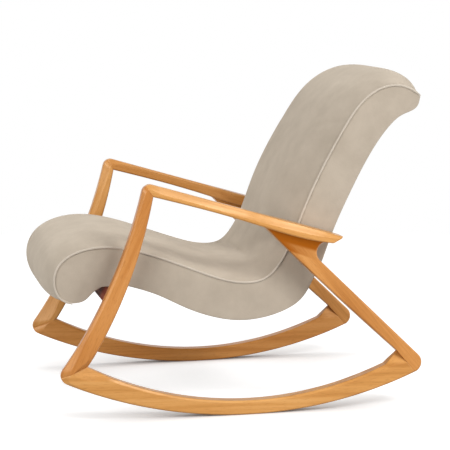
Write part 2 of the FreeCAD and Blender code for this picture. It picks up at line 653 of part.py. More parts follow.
def seat_bolt(x, foot, up, bearing):
    far = bolt_run(foot, up, bearing)[1]
    head_top = COUNTERBORE - WASHER_THICK
    head = pin(x, add(foot, up, head_top - BOLT_HEAD_HEIGHT), up, BOLT_HEAD_HEIGHT,
               BOLT_HEAD_DIAMETER)
    shank = pin(x, add(foot, up, head_top), up, far - head_top, BOLT_DIAMETER)
    return head.fuse(shank).removeSplitter()


def seat_washer(x, foot, up):
    start = add(foot, up, COUNTERBORE - WASHER_THICK)
    return pin(x, start, up, WASHER_THICK, WASHER_DIAMETER).cut(
        pin(x, start, up, WASHER_THICK, BOLT_DIAMETER + BOLT_CLEARANCE))


def tee_nut(x, foot, up, bearing):
    far = bolt_run(foot, up, bearing)[1]
    barrel = pin(x, add(foot, up, far - NUT_BARREL_LENGTH), up, NUT_BARREL_LENGTH,
                 NUT_BARREL_DIAMETER)
    flange = pin(x, add(foot, up, far), up, NUT_FLANGE_THICK, NUT_FLANGE_DIAMETER)
    bore = pin(x, add(foot, up, far - NUT_BARREL_LENGTH), up,
               NUT_BARREL_LENGTH + NUT_FLANGE_THICK, BOLT_DIAMETER)
    return barrel.fuse(flange).removeSplitter().cut(bore)


def bolt_hole(x, foot, up, bearing):
    """Counterbore and clearance hole for one bolt in its cross rail."""
    near = bolt_run(foot, up, bearing)[0]
    recess = pin(x, add(foot, up, -COUNTERBORE), up, 2 * COUNTERBORE, WASHER_DIAMETER)
    return recess.fuse(pin(x, foot, up, near, BOLT_DIAMETER + 2 * BOLT_CLEARANCE))


BOLT_LINES = [(FRONT_BOLT_FOOT, (0.0, 1.0), FRONT_BEARING[0]),
              (REAR_BOLT_HEAD, INTO_SEAT, REAR_BEARING[0])]


def each_bolt(make):
    return [make(x, line) for line in BOLT_LINES for x in (-BOLT_X, BOLT_X)]


# ---------------------------------------------------------------- upholstery: outlines
STRETCHES = [TOP_LINE, BACK_LINE + REAR_BEARING[:1], REAR_BEARING,
             REAR_BEARING[1:] + BELLY_LINE + FRONT_BEARING[:1], FRONT_BEARING,
             FRONT_BEARING[1:] + NOSE_LINE]


def stretch_curve(points):
    return spline(points) if len(points) > 2 else Part.LineSegment(at(0, points[0]),
                                                                  at(0, points[1]))


def outward(points):
    """Unit normal, away from the upholstery, at each point of a stretch."""
    curve = stretch_curve(points)
    normals = []
    for p in points:
        tangent = curve.tangent(curve.parameter(at(0, p)))[0]
        normals.append(left_of(unit((tangent.y, tangent.z))))
    return normals


def inset(distance):
    """The stretches of the side outline, moved inwards, their corners kept mitred."""
    normals = [outward(points) for points in STRETCHES]
    moved = []
    for i, points in enumerate(STRETCHES):
        before, after = normals[i - 1][-1], normals[(i + 1) % len(STRETCHES)][0]
        shifts = [(n[0], n[1]) for n in normals[i]]
        for end, other in ((0, before), (-1, after)):
            own = normals[i][end]
            both = add(own, other)
            shifts[end] = (both[0] / (1 + dot(own, other)), both[1] / (1 + dot(own, other)))
        moved.append([add(p, n, -distance) for p, n in zip(points, shifts)])
    return moved


def at_x(points, x):
    edge = stretch_curve(points).toShape()
    edge.translate(FreeCAD.Vector(x, 0, 0))
    return edge


def side_slab(stretches, x0, x1):
    face = Part.Face(Part.Wire([at_x(points, x0) for points in stretches]))
    return face.extrude(FreeCAD.Vector(x1 - x0, 0, 0))


# ---------------------------------------------------------------- upholstery: crowned top
WRAP_HALF_WIDTH = SEAT_HALF_WIDTH - COVER_THICK
STATIONS = 60
STATION_CROWDING = 0.7


def rise_at(t):
    """Height of the crown in the plane of symmetry, a smooth curve through CROWN."""
    if t >= CROWN[-1][0]:
        return CROWN[-1][1]
    i = max(k for k, row in enumerate(CROWN) if row[0] <= t)
    (t0, h0), (t1, h1) = CROWN[i], CROWN[i + 1]
    before = CROWN[i - 1] if i else (2 * t0 - t1, 2 * h0 - h1)
    after = CROWN[i + 2] if i + 2 < len(CROWN) else (2 * t1 - t0, 2 * h1 - h0)
    slope0 = (h1 - before[1]) / (t1 - before[0]) * (t1 - t0)
    slope1 = (after[1] - h0) / (after[0] - t0) * (t1 - t0)
    s = (t - t0) / (t1 - t0)
    return ((2 * s ** 3 - 3 * s ** 2 + 1) * h0 + (s ** 3 - 2 * s ** 2 + s) * slope0
            + (3 * s ** 2 - 2 * s ** 3) * h1 + (s ** 3 - s ** 2) * slope1)


def crowned_face(top):
    """The wrap: each point of the seam line lifted along its normal, most at X = 0.

    Across the chair the lift falls off as the fourth power of X.  That is the Bezier curve of
    degree four whose poles are lifted by 0, 2, 0, 2 and 0 times the rise.
    """
    curve = spline(top)
    edge = curve.toShape()
    # stations stand closer together towards both ends, where the crown falls away
    evenly = [i / (STATIONS - 1) for i in range(STATIONS)]
    spots = [t - STATION_CROWDING * math.sin(2 * math.pi * t) / (2 * math.pi) for t in evenly]
    places = [edge.valueAt(edge.getParameterByLength(t * edge.Length)) for t in spots[1:-1]]
    places = [at(0, top[0])] + places + [at(0, top[-1])]
    rows = []
    for j, share in enumerate((0.0, 2.0, 0.0, 2.0, 0.0)):
        x = WRAP_HALF_WIDTH * (j - 2) / 2
        points = []
        for t, place in zip(spots, places):
            tangent = curve.tangent(curve.parameter(place))[0]
            normal = left_of(unit((tangent.y, tangent.z)))
            points.append(at(x, add((place.y, place.z), normal, share * rise_at(t))))
        row = Part.BSplineCurve()
        row.interpolate(Points=points, Parameters=spots)
        rows.append(row)
    surface = Part.BSplineSurface()
    surface.buildFromPolesMultsKnots([row.getPoles() for row in rows], (5, 5),
                                     rows[0].getMultiplicities(), (0.0, 1.0),
                                     rows[0].getKnots(), False, False, 4, rows[0].Degree)
    return surface.toShape()


def edge_near(face, x):
    """The edge of a face that lies in the plane X = x."""
    return min(face.Edges, key=lambda e: abs(e.BoundBox.XMin - x) + abs(e.BoundBox.XMax - x))


def closed_solid(faces):
    shell = Part.makeShell(faces)
    shell.sewShape()
    return Part.makeSolid(shell)


def under_faces(stretches):
    """Faces along X under the lower stretches of an outline."""
    return [at_x(points, -WRAP_HALF_WIDTH).extrude(FreeCAD.Vector(2 * WRAP_HALF_WIDTH, 0, 0))
            for points in stretches[1:]]


def crowned_body(stretches):
    top = crowned_face(stretches[0])
    faces = [top] + under_faces(stretches)
    for x in (-WRAP_HALF_WIDTH, WRAP_HALF_WIDTH):
        edges = [edge_near(top, x)] + [at_x(points, x) for points in stretches[1:]]
        faces.append(Part.Face(Part.Wire(Part.sortEdges(edges)[0])))
    return closed_solid(faces)


def across_face(a, b):
    """A flat strip along X between two (Y, Z) points."""
    edge = Part.makeLine(at(-WRAP_HALF_WIDTH, a), at(-WRAP_HALF_WIDTH, b))
    return edge.extrude(FreeCAD.Vector(2 * WRAP_HALF_WIDTH, 0, 0))


def wrap_cover(outer, inner):
    """The cover over nose, seat, back and roll: one thickness of cloth, seam to seam."""
    above, below = crowned_face(outer[0]), crowned_face(inner[0])
    faces = [above, below]
    ends = [Part.makeLine(at(0, outer[0][k]), at(0, inner[0][k])) for k in (0, -1)]
    for x in (-WRAP_HALF_WIDTH, WRAP_HALF_WIDTH):
        closing = [end.translated(FreeCAD.Vector(x, 0, 0)) for end in ends]
        edges = [edge_near(above, x), edge_near(below, x)] + closing
        faces.append(Part.Face(Part.Wire(Part.sortEdges(edges)[0])))
    faces += [across_face(outer[0][k], inner[0][k]) for k in (0, -1)]
    return closed_solid(faces)


def under_cover(outer, inner):
    """The cover of the outside back and the underside, seam to seam."""
    x = -WRAP_HALF_WIDTH
    edges = [at_x(points, x) for points in outer[1:] + inner[1:]]
    edges += [Part.makeLine(at(x, outer[0][k]), at(x, inner[0][k])) for k in (0, -1)]
    face = Part.Face(Part.Wire(Part.sortEdges(edges)[0]))
    return face.extrude(FreeCAD.Vector(2 * WRAP_HALF_WIDTH, 0, 0))


def welt():
    """Self-covered piping along the seam between the wrap and a side panel."""
    offset = WELT_RADIUS / math.sqrt(2)
    path = [add(p, n, offset) for p, n in zip(TOP_LINE, outward(TOP_LINE))]
    curve = spline(path)
    start = curve.value(curve.FirstParameter)
    tangent = curve.tangent(curve.FirstParameter)[0]
    ring = Part.Wire(Part.makeCircle(WELT_RADIUS, start, tangent))
    tube = Part.Wire(curve.toShape()).makePipeShell([ring], True, True)
    tube.translate(FreeCAD.Vector(SEAT_HALF_WIDTH + offset, 0, 0))
    return tube


# ---------------------------------------------------------------- seat frame
PLY_OUTER_X = SEAT_HALF_WIDTH - COVER_THICK - SIDE_RAIL_PADDING
PLY_INNER_X = PLY_OUTER_X - SIDE_RAIL_THICK
PLY_TOP = inset(TOP_PADDING)[0][2:-2]
PLY_LOW = [inset(BOTTOM_PADDING)[k] for k in range(1, len(STRETCHES))]


def side_rail():
    """Plywood side of the seat frame: the seat's own outline, set in all round."""
    low = [PLY_LOW[0][2:]] + PLY_LOW[1:-1] + [PLY_LOW[-1][:-1]]
    lines = [PLY_TOP] + low
    edges = [at_x(points, PLY_INNER_X) for points in lines]
    for a, b in ((PLY_TOP[-1], low[0][0]), (low[-1][-1], PLY_TOP[0])):
        edges.append(Part.makeLine(at(PLY_INNER_X, a), at(PLY_INNER_X, b)))
    face = Part.Face(Part.Wire(Part.sortEdges(edges)[0]))
    return face.extrude(FreeCAD.Vector(SIDE_RAIL_THICK, 0, 0))


def slat_on(bearing, along):
    """Centre of a slat that lies on the cover over a bearing."""
    return add(bearing, left_of(along), -(COVER_THICK + SLAT_THICK / 2))


BACK_ALONG = unit(sub(BACK_LINE[5], BACK_LINE[4]))
SLATS = {
    "nose_slat": (NOSE_SLAT_AT, (0.0, 1.0), NOSE_SLAT_WIDTH),
    "front_mount_slat": (slat_on(middle(FRONT_BEARING), (-1.0, 0.0)), (1.0, 0.0),
                         MOUNT_SLAT_WIDTH),
    "hip_slat": (slat_on(middle(REAR_BEARING), (-BEARING_UP[0], -BEARING_UP[1])), BEARING_UP,
                 MOUNT_SLAT_WIDTH),
    "lumbar_slat": (add(mix(BACK_LINE[5], BACK_LINE[4], LUMBAR_SLAT_ALONG), left_of(BACK_ALONG),
                        -LUMBAR_SLAT_INSET), BACK_ALONG, LUMBAR_SLAT_WIDTH),
    "head_slat": (HEAD_SLAT_AT, unit(HEAD_SLAT_ALONG), HEAD_SLAT_WIDTH),
}


def slat(name):
    centre, along, width = SLATS[name]
    return block(centre, along, width, SLAT_THICK, -PLY_INNER_X, PLY_INNER_X)


def slat_screw(centre):
    """Countersunk screw from the outside of the left side rail into the end of a slat."""
    shank = cross_pin(PLY_OUTER_X, PLY_OUTER_X - SCREW_LENGTH, centre, SCREW_DIAMETER)
    depth = (SCREW_HEAD - SCREW_DIAMETER) / 2
    head = Part.makeCone(SCREW_HEAD / 2, SCREW_DIAMETER / 2, depth, at(PLY_OUTER_X, centre),
                         FreeCAD.Vector(-1, 0, 0))
    return shank.fuse(head).removeSplitter()


def slat_screws():
    screws = []
    for centre, along, width in SLATS.values():
        for side in (-1, 1):
            screws.append(slat_screw(add(centre, along, side * SCREW_PITCH / 2)))
    return both_sides(screws)


def webbing(first, last):
    """Elastic strips across the side rails, between two distances along their upper edge."""
    line = spline_points(PLY_TOP, 400)
    count = int((last - first - WEBBING_WIDTH) / WEBBING_PITCH) + 1
    strips = []
    for k in range(count):
        start = first + k * WEBBING_PITCH
        low = part_of(line, start, start + WEBBING_WIDTH)
        low = [point_at(low, lengths(low)[-1] * j / 4) for j in range(5)]
        ways = [left_of(unit(sub(b, a))) for a, b in zip(low, low[1:])]
        ways = [ways[0]] + [unit(add(a, b)) for a, b in zip(ways, ways[1:])] + [ways[-1]]
        low = [add(p, n, -WEBBING_LET_IN) for p, n in zip(low, ways)]
        high = [add(p, n, WEBBING_THICK) for p, n in zip(low, ways)]
        edges = [at_x(low, -PLY_OUTER_X), at_x(high, -PLY_OUTER_X)]
        for end in (0, -1):
            edges.append(Part.makeLine(at(-PLY_OUTER_X, low[end]), at(-PLY_OUTER_X, high[end])))
        face = Part.Face(Part.Wire(Part.sortEdges(edges)[0]))
        strips.append(face.extrude(FreeCAD.Vector(2 * PLY_OUTER_X, 0, 0)))
    return strips


# ---------------------------------------------------------------- build and write out
def write(name, solids):
    shape = solids[0] if len(solids) == 1 else Part.makeCompound(solids)
    shape.exportStep("parts/" + name + ".step")


def drilled(shape, tools):
    for tool in tools:
        shape = shape.cut(tool)
    return shape


def write_side_frames():
    tenons = [tenon_at(FRONT_LOW_CORNER.middle, FRONT_INNER),
              tenon_at(FRONT_TOP_CORNER.middle, TOP_INNER),
              tenon_at(SOLE[-1], REAR_INNER)]
    arm_dowels = [arm_dowel(distance) for distance in ARM_DOWELS_AT]
    front_dowels = rail_dowels(middle(FRONT_RAIL), (1.0, 0.0))
    rear_dowels = rail_dowels(middle(REAR_RAIL), REAR_UP)
    solid_arm = arm()
    members = {
        "front_leg": drilled(front_leg(), tenons[:2] + front_dowels),
        "rocker": drilled(rocker(), [tenons[0], tenons[2]]),
        "rear_leg": drilled(rear_leg(), [solid_arm, tenons[2]] + arm_dowels + rear_dowels),
        "arm": drilled(solid_arm, [tenons[1]] + arm_dowels),
    }
    for name, shape in members.items():
        write("left_" + name, [shape])
        write("right_" + name, [mirrored(shape)])
    write("mitre_tenons", both_sides(tenons))
    write("rear_leg_dowels", both_sides(arm_dowels))
    write("cross_rail_dowels", both_sides(front_dowels + rear_dowels))
    for name, corners, leg, line, dowels in (
            ("front_cross_rail", FRONT_RAIL, members["front_leg"], 0, front_dowels),
            ("rear_cross_rail", REAR_RAIL, members["rear_leg"], 1, rear_dowels)):
        rail = cross_rail(corners, [leg, mirrored(leg)])
        holes = [bolt_hole(x, *BOLT_LINES[line]) for x in (-BOLT_X, BOLT_X)]
        write(name, [drilled(rail, holes + both_sides(dowels))])


def write_seat():
    outer, inner = inset(0.0), inset(COVER_THICK)
    bolts = each_bolt(lambda x, line: seat_bolt(x, *line))
    nuts = each_bolt(lambda x, line: tee_nut(x, *line))
    screws = slat_screws()
    slats = {name: drilled(slat(name), screws + bolts + nuts) for name in SLATS}
    total = lengths(spline_points(PLY_TOP, 400))[-1]
    strips = {"seat_webbing": webbing(SEAT_WEBBING[0] * total, SEAT_WEBBING[1] * total),
              "back_webbing": webbing(BACK_WEBBING[0] * total, BACK_WEBBING[1] * total)}
    ply = drilled(side_rail(), screws + strips["seat_webbing"] + strips["back_webbing"])
    rails = both_sides([ply])
    inside = rails + list(slats.values()) + strips["seat_webbing"] + strips["back_webbing"]
    foam = drilled(crowned_body(inner), inside + bolts + nuts + screws)
    write("foam_core", [max(foam.Solids, key=lambda solid: solid.Volume)])
    write("top_cover", [wrap_cover(outer, inner)])
    write("underside_panel", [drilled(under_cover(outer, inner), bolts)])
    panel = side_slab(outer, WRAP_HALF_WIDTH, SEAT_HALF_WIDTH)
    piping = welt()
    for side, turn in (("left", lambda shape: shape), ("right", mirrored)):
        write(side + "_side_panel", [turn(panel)])
        write(side + "_welt", [turn(piping)])
        write("seat_side_rail_" + side, [turn(ply)])
    for name, shapes in list(strips.items()) + [(n, [s]) for n, s in slats.items()]:
        write(name, shapes)
    write("slat_screws", screws)
    write("seat_bolts", bolts)
    write("seat_washers", each_bolt(lambda x, line: seat_washer(x, line[0], line[1])))
    write("tee_nuts", nuts)


os.makedirs("parts", exist_ok=True)
write_side_frames()
write_seat()
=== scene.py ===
# %% [markdown]
# # An upholstered rocking chair
#
# Two side frames of oiled hardwood carry one long cushion that is seat and back at once.
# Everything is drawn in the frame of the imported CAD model: metres, the floor at Z = 0, the sitter
# facing -Y, and the plane of symmetry at X = 0.
#
# The CAD model could be shown as it is, and for what lies inside the cushion it is.  The pieces
# that are looked at are made again here, because wood needs its softened edges and its grain, and
# cloth needs its swell.

import math

import bmesh
import bpy
import numpy as np
from mathutils import Matrix, Vector


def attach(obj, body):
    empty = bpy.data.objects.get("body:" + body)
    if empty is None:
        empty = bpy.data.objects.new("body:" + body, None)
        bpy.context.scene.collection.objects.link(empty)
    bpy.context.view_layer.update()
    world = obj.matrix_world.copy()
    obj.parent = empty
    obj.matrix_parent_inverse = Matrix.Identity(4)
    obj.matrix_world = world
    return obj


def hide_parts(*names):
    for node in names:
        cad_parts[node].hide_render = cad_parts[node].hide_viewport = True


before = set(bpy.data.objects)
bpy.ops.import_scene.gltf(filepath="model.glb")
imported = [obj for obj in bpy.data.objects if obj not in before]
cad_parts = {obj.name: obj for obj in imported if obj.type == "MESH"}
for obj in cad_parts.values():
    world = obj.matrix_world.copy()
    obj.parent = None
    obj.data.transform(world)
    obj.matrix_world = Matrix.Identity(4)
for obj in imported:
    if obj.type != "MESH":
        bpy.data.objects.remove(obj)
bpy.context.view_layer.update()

# %% [markdown]
# The frames and the cushion are both flat shapes seen from the side, so they start as lines:
# arrays of (Y, Z) points in millimetres.  Blender's curve objects could draw them too, but an
# array of points can be measured, offset and cut, and every later step asks for that.  The first
# helpers measure a line and read it at any distance from its start.

# %% Distances along a line
MM = 0.001


def travelled(path):
    """Distance from the start to each point: the running sum of the steps between points."""
    return np.concatenate([[0.0], np.cumsum(np.hypot(*np.diff(path, axis=0).T))])


def length(path):
    """The whole distance."""
    return travelled(path)[-1]


def along(path, distances):
    """Points at given distances, straight between the line's own points."""
    steps = travelled(path)
    return np.stack([np.interp(distances, steps, path[:, k]) for k in (0, 1)], axis=-1)


def evenly(path, count):
    """The same line in equal steps."""
    return along(path, np.linspace(0.0, length(path), count))


print("a line 300 mm along and 400 mm up is", length(np.array([[0, 0], [300, 400]])), "mm long")

# %% [markdown]
# Edges are offset and bevelled square to the way they run, so a direction of length 1 and a
# quarter turn are wanted everywhere.

# %% Directions
def unit(v):
    """The same direction with length 1: v divided by its length."""
    return v / np.linalg.norm(v, axis=-1, keepdims=True)


def left_of(v):
    """A quarter turn to the left: (y, z) becomes (-z, y)."""
    return np.stack([-v[..., 1], v[..., 0]], axis=-1)


print("left of straight back is", left_of(unit(np.array([2.0, 0.0]))))

# %% [markdown]
# Sawn and shaped members are full of arcs: the sole of a rocker, the round of a corner, the
# gentle bow of a leg.  A Bezier curve only comes near a circle.  A circle through three points is
# exact, and the three points are what a maker would mark on the template.

# %% Arcs
def arc(a, middle, b, count=80):
    """The circle through three points: its centre is where their perpendicular bisectors meet,
    and the points turn evenly about it from a to b."""
    a, middle, b = (np.array(p, float) for p in (a, middle, b))
    rows = 2 * np.array([middle - a, b - a])
    centre = np.linalg.solve(rows, [middle @ middle - a @ a, b @ b - a @ a])
    turned = np.unwrap([math.atan2(*(p - centre)[::-1]) for p in (a, middle, b)])
    angles = np.linspace(turned[0], turned[2], count)
    radius = np.linalg.norm(a - centre)
    return centre + radius * np.stack([np.cos(angles), np.sin(angles)], axis=-1)


def bowed(a, b, rise, count=200):
    """An arc from a to b whose middle stands `rise` to the left of the straight line."""
    a, b = np.array(a, float), np.array(b, float)
    return arc(a, (a + b) / 2 + rise * left_of(unit(b - a)), b, count)


print("a quarter circle of 100 mm is", length(arc((100, 0), (70.711, 70.711), (0, 100))), "mm")

# %% [markdown]
# The underside of the arm and the outline of the cushion have no single radius.  A draughtsman
# bends a thin batten round a few pins for such a line, and draws along it.  The cubic spline is
# that batten written as a formula, so a few measured points give a fair curve.

# %% A batten bent round pins
def through(pins, count):
    """A cubic spline: between two pins the line is a cubic of the distance along the chords.
    Slope and curvature run on at each pin, which gives one linear equation for each of them, and
    at the two ends the curvature is nothing, as in a free batten."""
    p = np.array(pins, float)
    t = travelled(p)
    h = np.diff(t)
    system = np.eye(len(p))
    inner = np.arange(1, len(p) - 1)
    system[inner, inner - 1] = h[:-1]
    system[inner, inner] = 2 * (h[:-1] + h[1:])
    system[inner, inner + 1] = h[1:]
    slopes = np.diff(p, axis=0) / h[:, None]
    load = np.zeros_like(p)
    load[1:-1] = 6 * np.diff(slopes, axis=0)
    bend = np.linalg.solve(system, load)
    u = np.linspace(0.0, t[-1], 8 * count)
    k = np.clip(np.searchsorted(t, u, "right") - 1, 0, len(h) - 1)
    a, b = ((t[k + 1] - u) / h[k])[:, None], ((u - t[k]) / h[k])[:, None]
    line = a * p[k] + b * p[k + 1]
    line += ((a**3 - a) * bend[k] + (b**3 - b) * bend[k + 1]) * (h[k] ** 2)[:, None] / 6
    return evenly(line, count)


print("a batten over three pins", through([(0, 0), (100, 20), (200, 0)], 5).round(1).tolist())

# %% [markdown]
# A member changes its section as it goes, and its sizes are written as a short table.  Read with
# straight lines such a table leaves creases, and read with a batten it swells between two equal
# sizes.  A cubic whose slopes are harmonic means does neither, which is why it is used here.

# %% Reading a table of sizes
def hermite(knots, values, slope, u):
    """Cubics that meet value and slope at each knot: with s running from 0 to 1 between two knots
    h apart, (2s^3 - 3s^2 + 1) v0 + (s^3 - 2s^2 + s) h m0 + (3s^2 - 2s^3) v1 + (s^3 - s^2) h m1."""
    k = np.clip(np.searchsorted(knots, u, "right") - 1, 0, len(knots) - 2)
    h = np.diff(knots)[k][:, None]
    s = ((u - knots[k])[:, None] / h).clip(0.0, 1.0)
    return ((2 * s**3 - 3 * s**2 + 1) * values[k] + (s**3 - 2 * s**2 + s) * slope[k] * h
            + (3 * s**2 - 2 * s**3) * values[k + 1] + (s**3 - s**2) * slope[k + 1] * h)


def glide(knots, values, u):
    """A reading that never overshoots: the slope at a knot is the harmonic mean 2ab / (a + b) of
    the slopes a and b on both sides, and 0 where they differ in sign."""
    secant = np.diff(values, axis=0) / np.diff(knots)[:, None]
    a, b = secant[:-1], secant[1:]
    same = a * b > 0
    mean = np.where(same, 2 * a * b / np.where(same, a + b, 1.0), 0.0)
    return hermite(knots, values, np.concatenate([secant[:1], mean, secant[-1:]]), u)


def crowded(count, crowding=0.75):
    """Numbers from 0 to 1 that stand closer towards both ends: t - c sin(2 pi t) / (2 pi)."""
    t = np.linspace(0.0, 1.0, count)
    return t - crowding * np.sin(2 * math.pi * t) / (2 * math.pi)


print("seven sections crowd like this:", crowded(7).round(3))

# %% [markdown]
# The side frame is a loop of four pieces of solid wood: front leg, rocker, rear leg and arm.  It
# could be traced point by point.  Here it is worked out from the few sizes that would stand on a
# workshop drawing, so that one change moves everything that joins it.  The sole comes first.  It
# is a true arc, because it is what the chair rolls on.

# %% Sole of the rocker
INNER_X, STOCK = 316.0, 38.0
OUTER_X = INNER_X + STOCK
SOLE_RADIUS, SOLE_LOW_Y, ROCKER_DEPTH = 1185.0, -5.0, 38.0
ROCKER_FRONT_Y, ROCKER_REAR_Y = -520.0, 494.0


def sole(y):
    """Point and direction of the sole at y: a circle that touches the floor at SOLE_LOW_Y."""
    height = math.sqrt(SOLE_RADIUS**2 - (y - SOLE_LOW_Y) ** 2)
    return np.array([y, SOLE_RADIUS - height]), unit(np.array([height, y - SOLE_LOW_Y]))


front_low, sole_front = sole(ROCKER_FRONT_Y)
rear_low, sole_rear = sole(ROCKER_REAR_Y)
print("the sole rises", front_low[1].round(1), "mm in front and", rear_low[1].round(1), "behind")

# %% [markdown]
# Two members meet in a mitre.  Its outer end is where their outer edges would cross if the corner
# were not rounded.  Its inner end could be read off a drawing, but a change of width would then
# open the joint.  So it is worked out from how wide each of the two is there.

# %% Corners of the loop
def crossing(p, direction, q, heading):
    """Where two straight lines meet: p + s direction = q + r heading, solved for s and r."""
    step = np.linalg.solve(np.stack([direction, -heading], axis=1), q - p)
    return p + step[0] * direction


def inner_corner(corner, a, b, width_a, width_b):
    """Where the inner edges of two members meet.  Each edge is one width away from the outer
    edge, so along the other member's direction it is width / sine of the angle between them."""
    sine = abs(a[0] * b[1] - a[1] * b[0])
    return corner + a * width_b / sine + b * width_a / sine


LEG_FOOT, ROCKER_TOE, LEG_HEAD, ARM_FRONT = 49.0, 62.0, 31.0, 29.5
LEG_BOW = 30.0
ARM_SLOPE, ARM_LENGTH = math.radians(16.33), 557.0
front_top = np.array([-286.0, 626.0])
arm_way = np.array([math.cos(ARM_SLOPE), -math.sin(ARM_SLOPE)])
arm_down = np.array([-math.sin(ARM_SLOPE), -math.cos(ARM_SLOPE)])
arm_tip = front_top + arm_way * ARM_LENGTH
leg_front = bowed(front_low, front_top, -LEG_BOW)
leg_up, leg_down = unit(leg_front[4] - leg_front[0]), unit(leg_front[-5] - leg_front[-1])
front_inner = inner_corner(front_low, leg_up, sole_front, LEG_FOOT, ROCKER_TOE)
top_inner = inner_corner(front_top, leg_down, arm_way, LEG_HEAD, ARM_FRONT)
print("inner corners: foot", front_inner.round(1), "and head", top_inner.round(1))

# %% [markdown]
# Seen from the side, the arm's top is straight and its underside swells a little under the elbow
# before it is cut back to a beak at the rear.  Depths below the top are marked at a few places
# along the arm, and the batten runs through them.

# %% Underside of the arm
def under_arm(part, depth):
    """A point that share of the way along the arm, that far below its top."""
    return front_top + arm_way * ARM_LENGTH * part + arm_down * depth


BEAK_SETBACK, BEAK_DEPTH = 27.0, 23.8
beak_foot = arm_tip - arm_way * BEAK_SETBACK + arm_down * BEAK_DEPTH
arm_underside = through([top_inner, under_arm(0.35, 27.0), under_arm(0.58, 29.7),
                         under_arm(0.75, 32.2), under_arm(0.85, 30.4), beak_foot], 300)
print("underside of the arm", length(arm_underside).round(1), "mm")

# %% [markdown]
# The rear leg leans forward from the heel of the rocker to the underside of the arm.  Its lean
# depends on its width and its width is measured square to its lean, so the two are found
# together: four rounds of correction settle it to far less than a hair.

# %% Lean of the rear leg
LEG_MEETS_ARM_Y, LEG_WIDTH, LEG_HEEL, ROCKER_HEEL, SHOULDER = 36.0, 37.0, 33.0, 75.0, 47.0
rear_top = arm_underside[np.argmin(np.abs(arm_underside[:, 0] - LEG_MEETS_ARM_Y))]
rear_up = unit(rear_top - rear_low)
for _ in range(4):
    rear_across = -left_of(rear_up)
    rear_up = unit(rear_top + rear_across * LEG_WIDTH - rear_low)
rear_inner = inner_corner(rear_low, rear_up, -sole_rear, LEG_HEEL, ROCKER_HEEL)
shoulder_foot = rear_inner - rear_across * SHOULDER
print("the rear leg stands at", round(math.degrees(math.atan2(rear_up[1], -rear_up[0])), 1),
      "degrees to the floor")

# %% [markdown]
# On the real frame every outer corner is rounded over, so that it does not bruise a shin.  Each
# round belongs to both members: half of it is cut on one side of the mitre and half on the other.
# A Bevel modifier could round a finished loop, but then no member would know where it ends.

# %% Rounded corners
def rounding(corner, a, b, radius):
    """Start, middle and end of a rounded corner between directions a and b.  It leaves each edge
    radius / tan(half the angle) from the corner."""
    half = math.acos(a @ b) / 2
    middle = corner + unit(a + b) * (radius / math.sin(half) - radius)
    return corner + a * radius / math.tan(half), middle, corner + b * radius / math.tan(half)


FOOT_RADIUS, HEAD_RADIUS, HEEL_RADIUS = 24.0, 22.0, 30.0
ON_MITRE = 30                # the middle one of an arc's points, which lies on the mitre
low_round = rounding(front_low, sole_front, leg_up, FOOT_RADIUS)
top_round = rounding(front_top, leg_down, arm_way, HEAD_RADIUS)
heel_round = rounding(rear_low, -sole_rear, rear_up, HEEL_RADIUS)
sole_start, sole_end = sole(low_round[0][0])[0], sole(heel_round[0][0])[0]
low_arc = arc(sole_start, low_round[1], low_round[2], 2 * ON_MITRE + 1)
top_arc = arc(top_round[0], top_round[1], top_round[2], 2 * ON_MITRE + 1)
print("rounds of", length(low_arc).round(1), "and", length(top_arc).round(1), "mm")

# %% [markdown]
# Each member is drawn between two edges: the one that runs round the outside of the loop and the
# one that bounds its opening.  At a mitre both members start from the same line, so they meet
# without a gap.

# %% Edges of the front leg, the rocker and the arm
OPENING_BOW = 22.0
between_rounds = (leg_front[:, 1] > low_round[2][1]) & (leg_front[:, 1] < top_round[0][1])
leg_outside = np.concatenate([low_arc[ON_MITRE:], leg_front[between_rounds],
                              top_arc[:ON_MITRE + 1]])
leg_opening = bowed(front_inner, top_inner, -OPENING_BOW)
sole_line = arc(sole_start, (SOLE_LOW_Y, 0.0), sole_end, 400)
rocker_outside = np.concatenate([low_arc[ON_MITRE::-1], sole_line[1:]])
rocker_opening = np.concatenate([arc(front_inner, (SOLE_LOW_Y, ROCKER_DEPTH), shoulder_foot, 200),
                                 evenly(np.array([shoulder_foot, rear_inner]), 12)[1:]])
arm_outside = np.concatenate([top_arc[ON_MITRE:], arm_tip[None]])
print("edges: leg", len(leg_outside), "rocker", len(rocker_outside), "arm", len(arm_outside))

# %% [markdown]
# Where the rear leg reaches the arm, its rear edge flares backwards in a round, so the joint looks
# grown and has more wood to take the dowels.  It could be drawn by hand, but a circle with a fixed
# radius is set out by its centre alone: as far from the leg's edge as the radius, and MEET of it
# below the arm.  So the round meets the arm at a slant, and not in a feather edge that would
# break.

# %% Flare of the rear leg under the arm
FLARE, MEET = 30.0, 0.8
FLARE_STARTS, FLARE_ENDS = 240, 276      # points of the arm's underside
near_flare = arm_underside[FLARE_STARTS]
arm_run = unit(arm_underside[FLARE_ENDS] - near_flare)
into_arm = left_of(arm_run)
flare_centre = crossing(rear_low + rear_across * FLARE, rear_up,
                        near_flare - into_arm * MEET * FLARE, arm_run)
flare_start = flare_centre - rear_across * FLARE
flare_end = flare_centre + FLARE * (into_arm * MEET - arm_run * math.sqrt(1 - MEET**2))
flare_middle = flare_centre + FLARE * unit((flare_start + flare_end) / 2 - flare_centre)
flare_arc = arc(flare_start, flare_middle, flare_end, 60)
print("the flare is", length(flare_arc).round(1), "mm of arc")

# %% [markdown]
# The rear leg's two edges are drawn next: a nearly straight bow along the opening, and behind it
# the round heel, a straight run and the flare.  Its top could be cut off where the arm begins,
# but a curved cut never fits so well that no light shows.  It is let into the arm by OVERRUN.

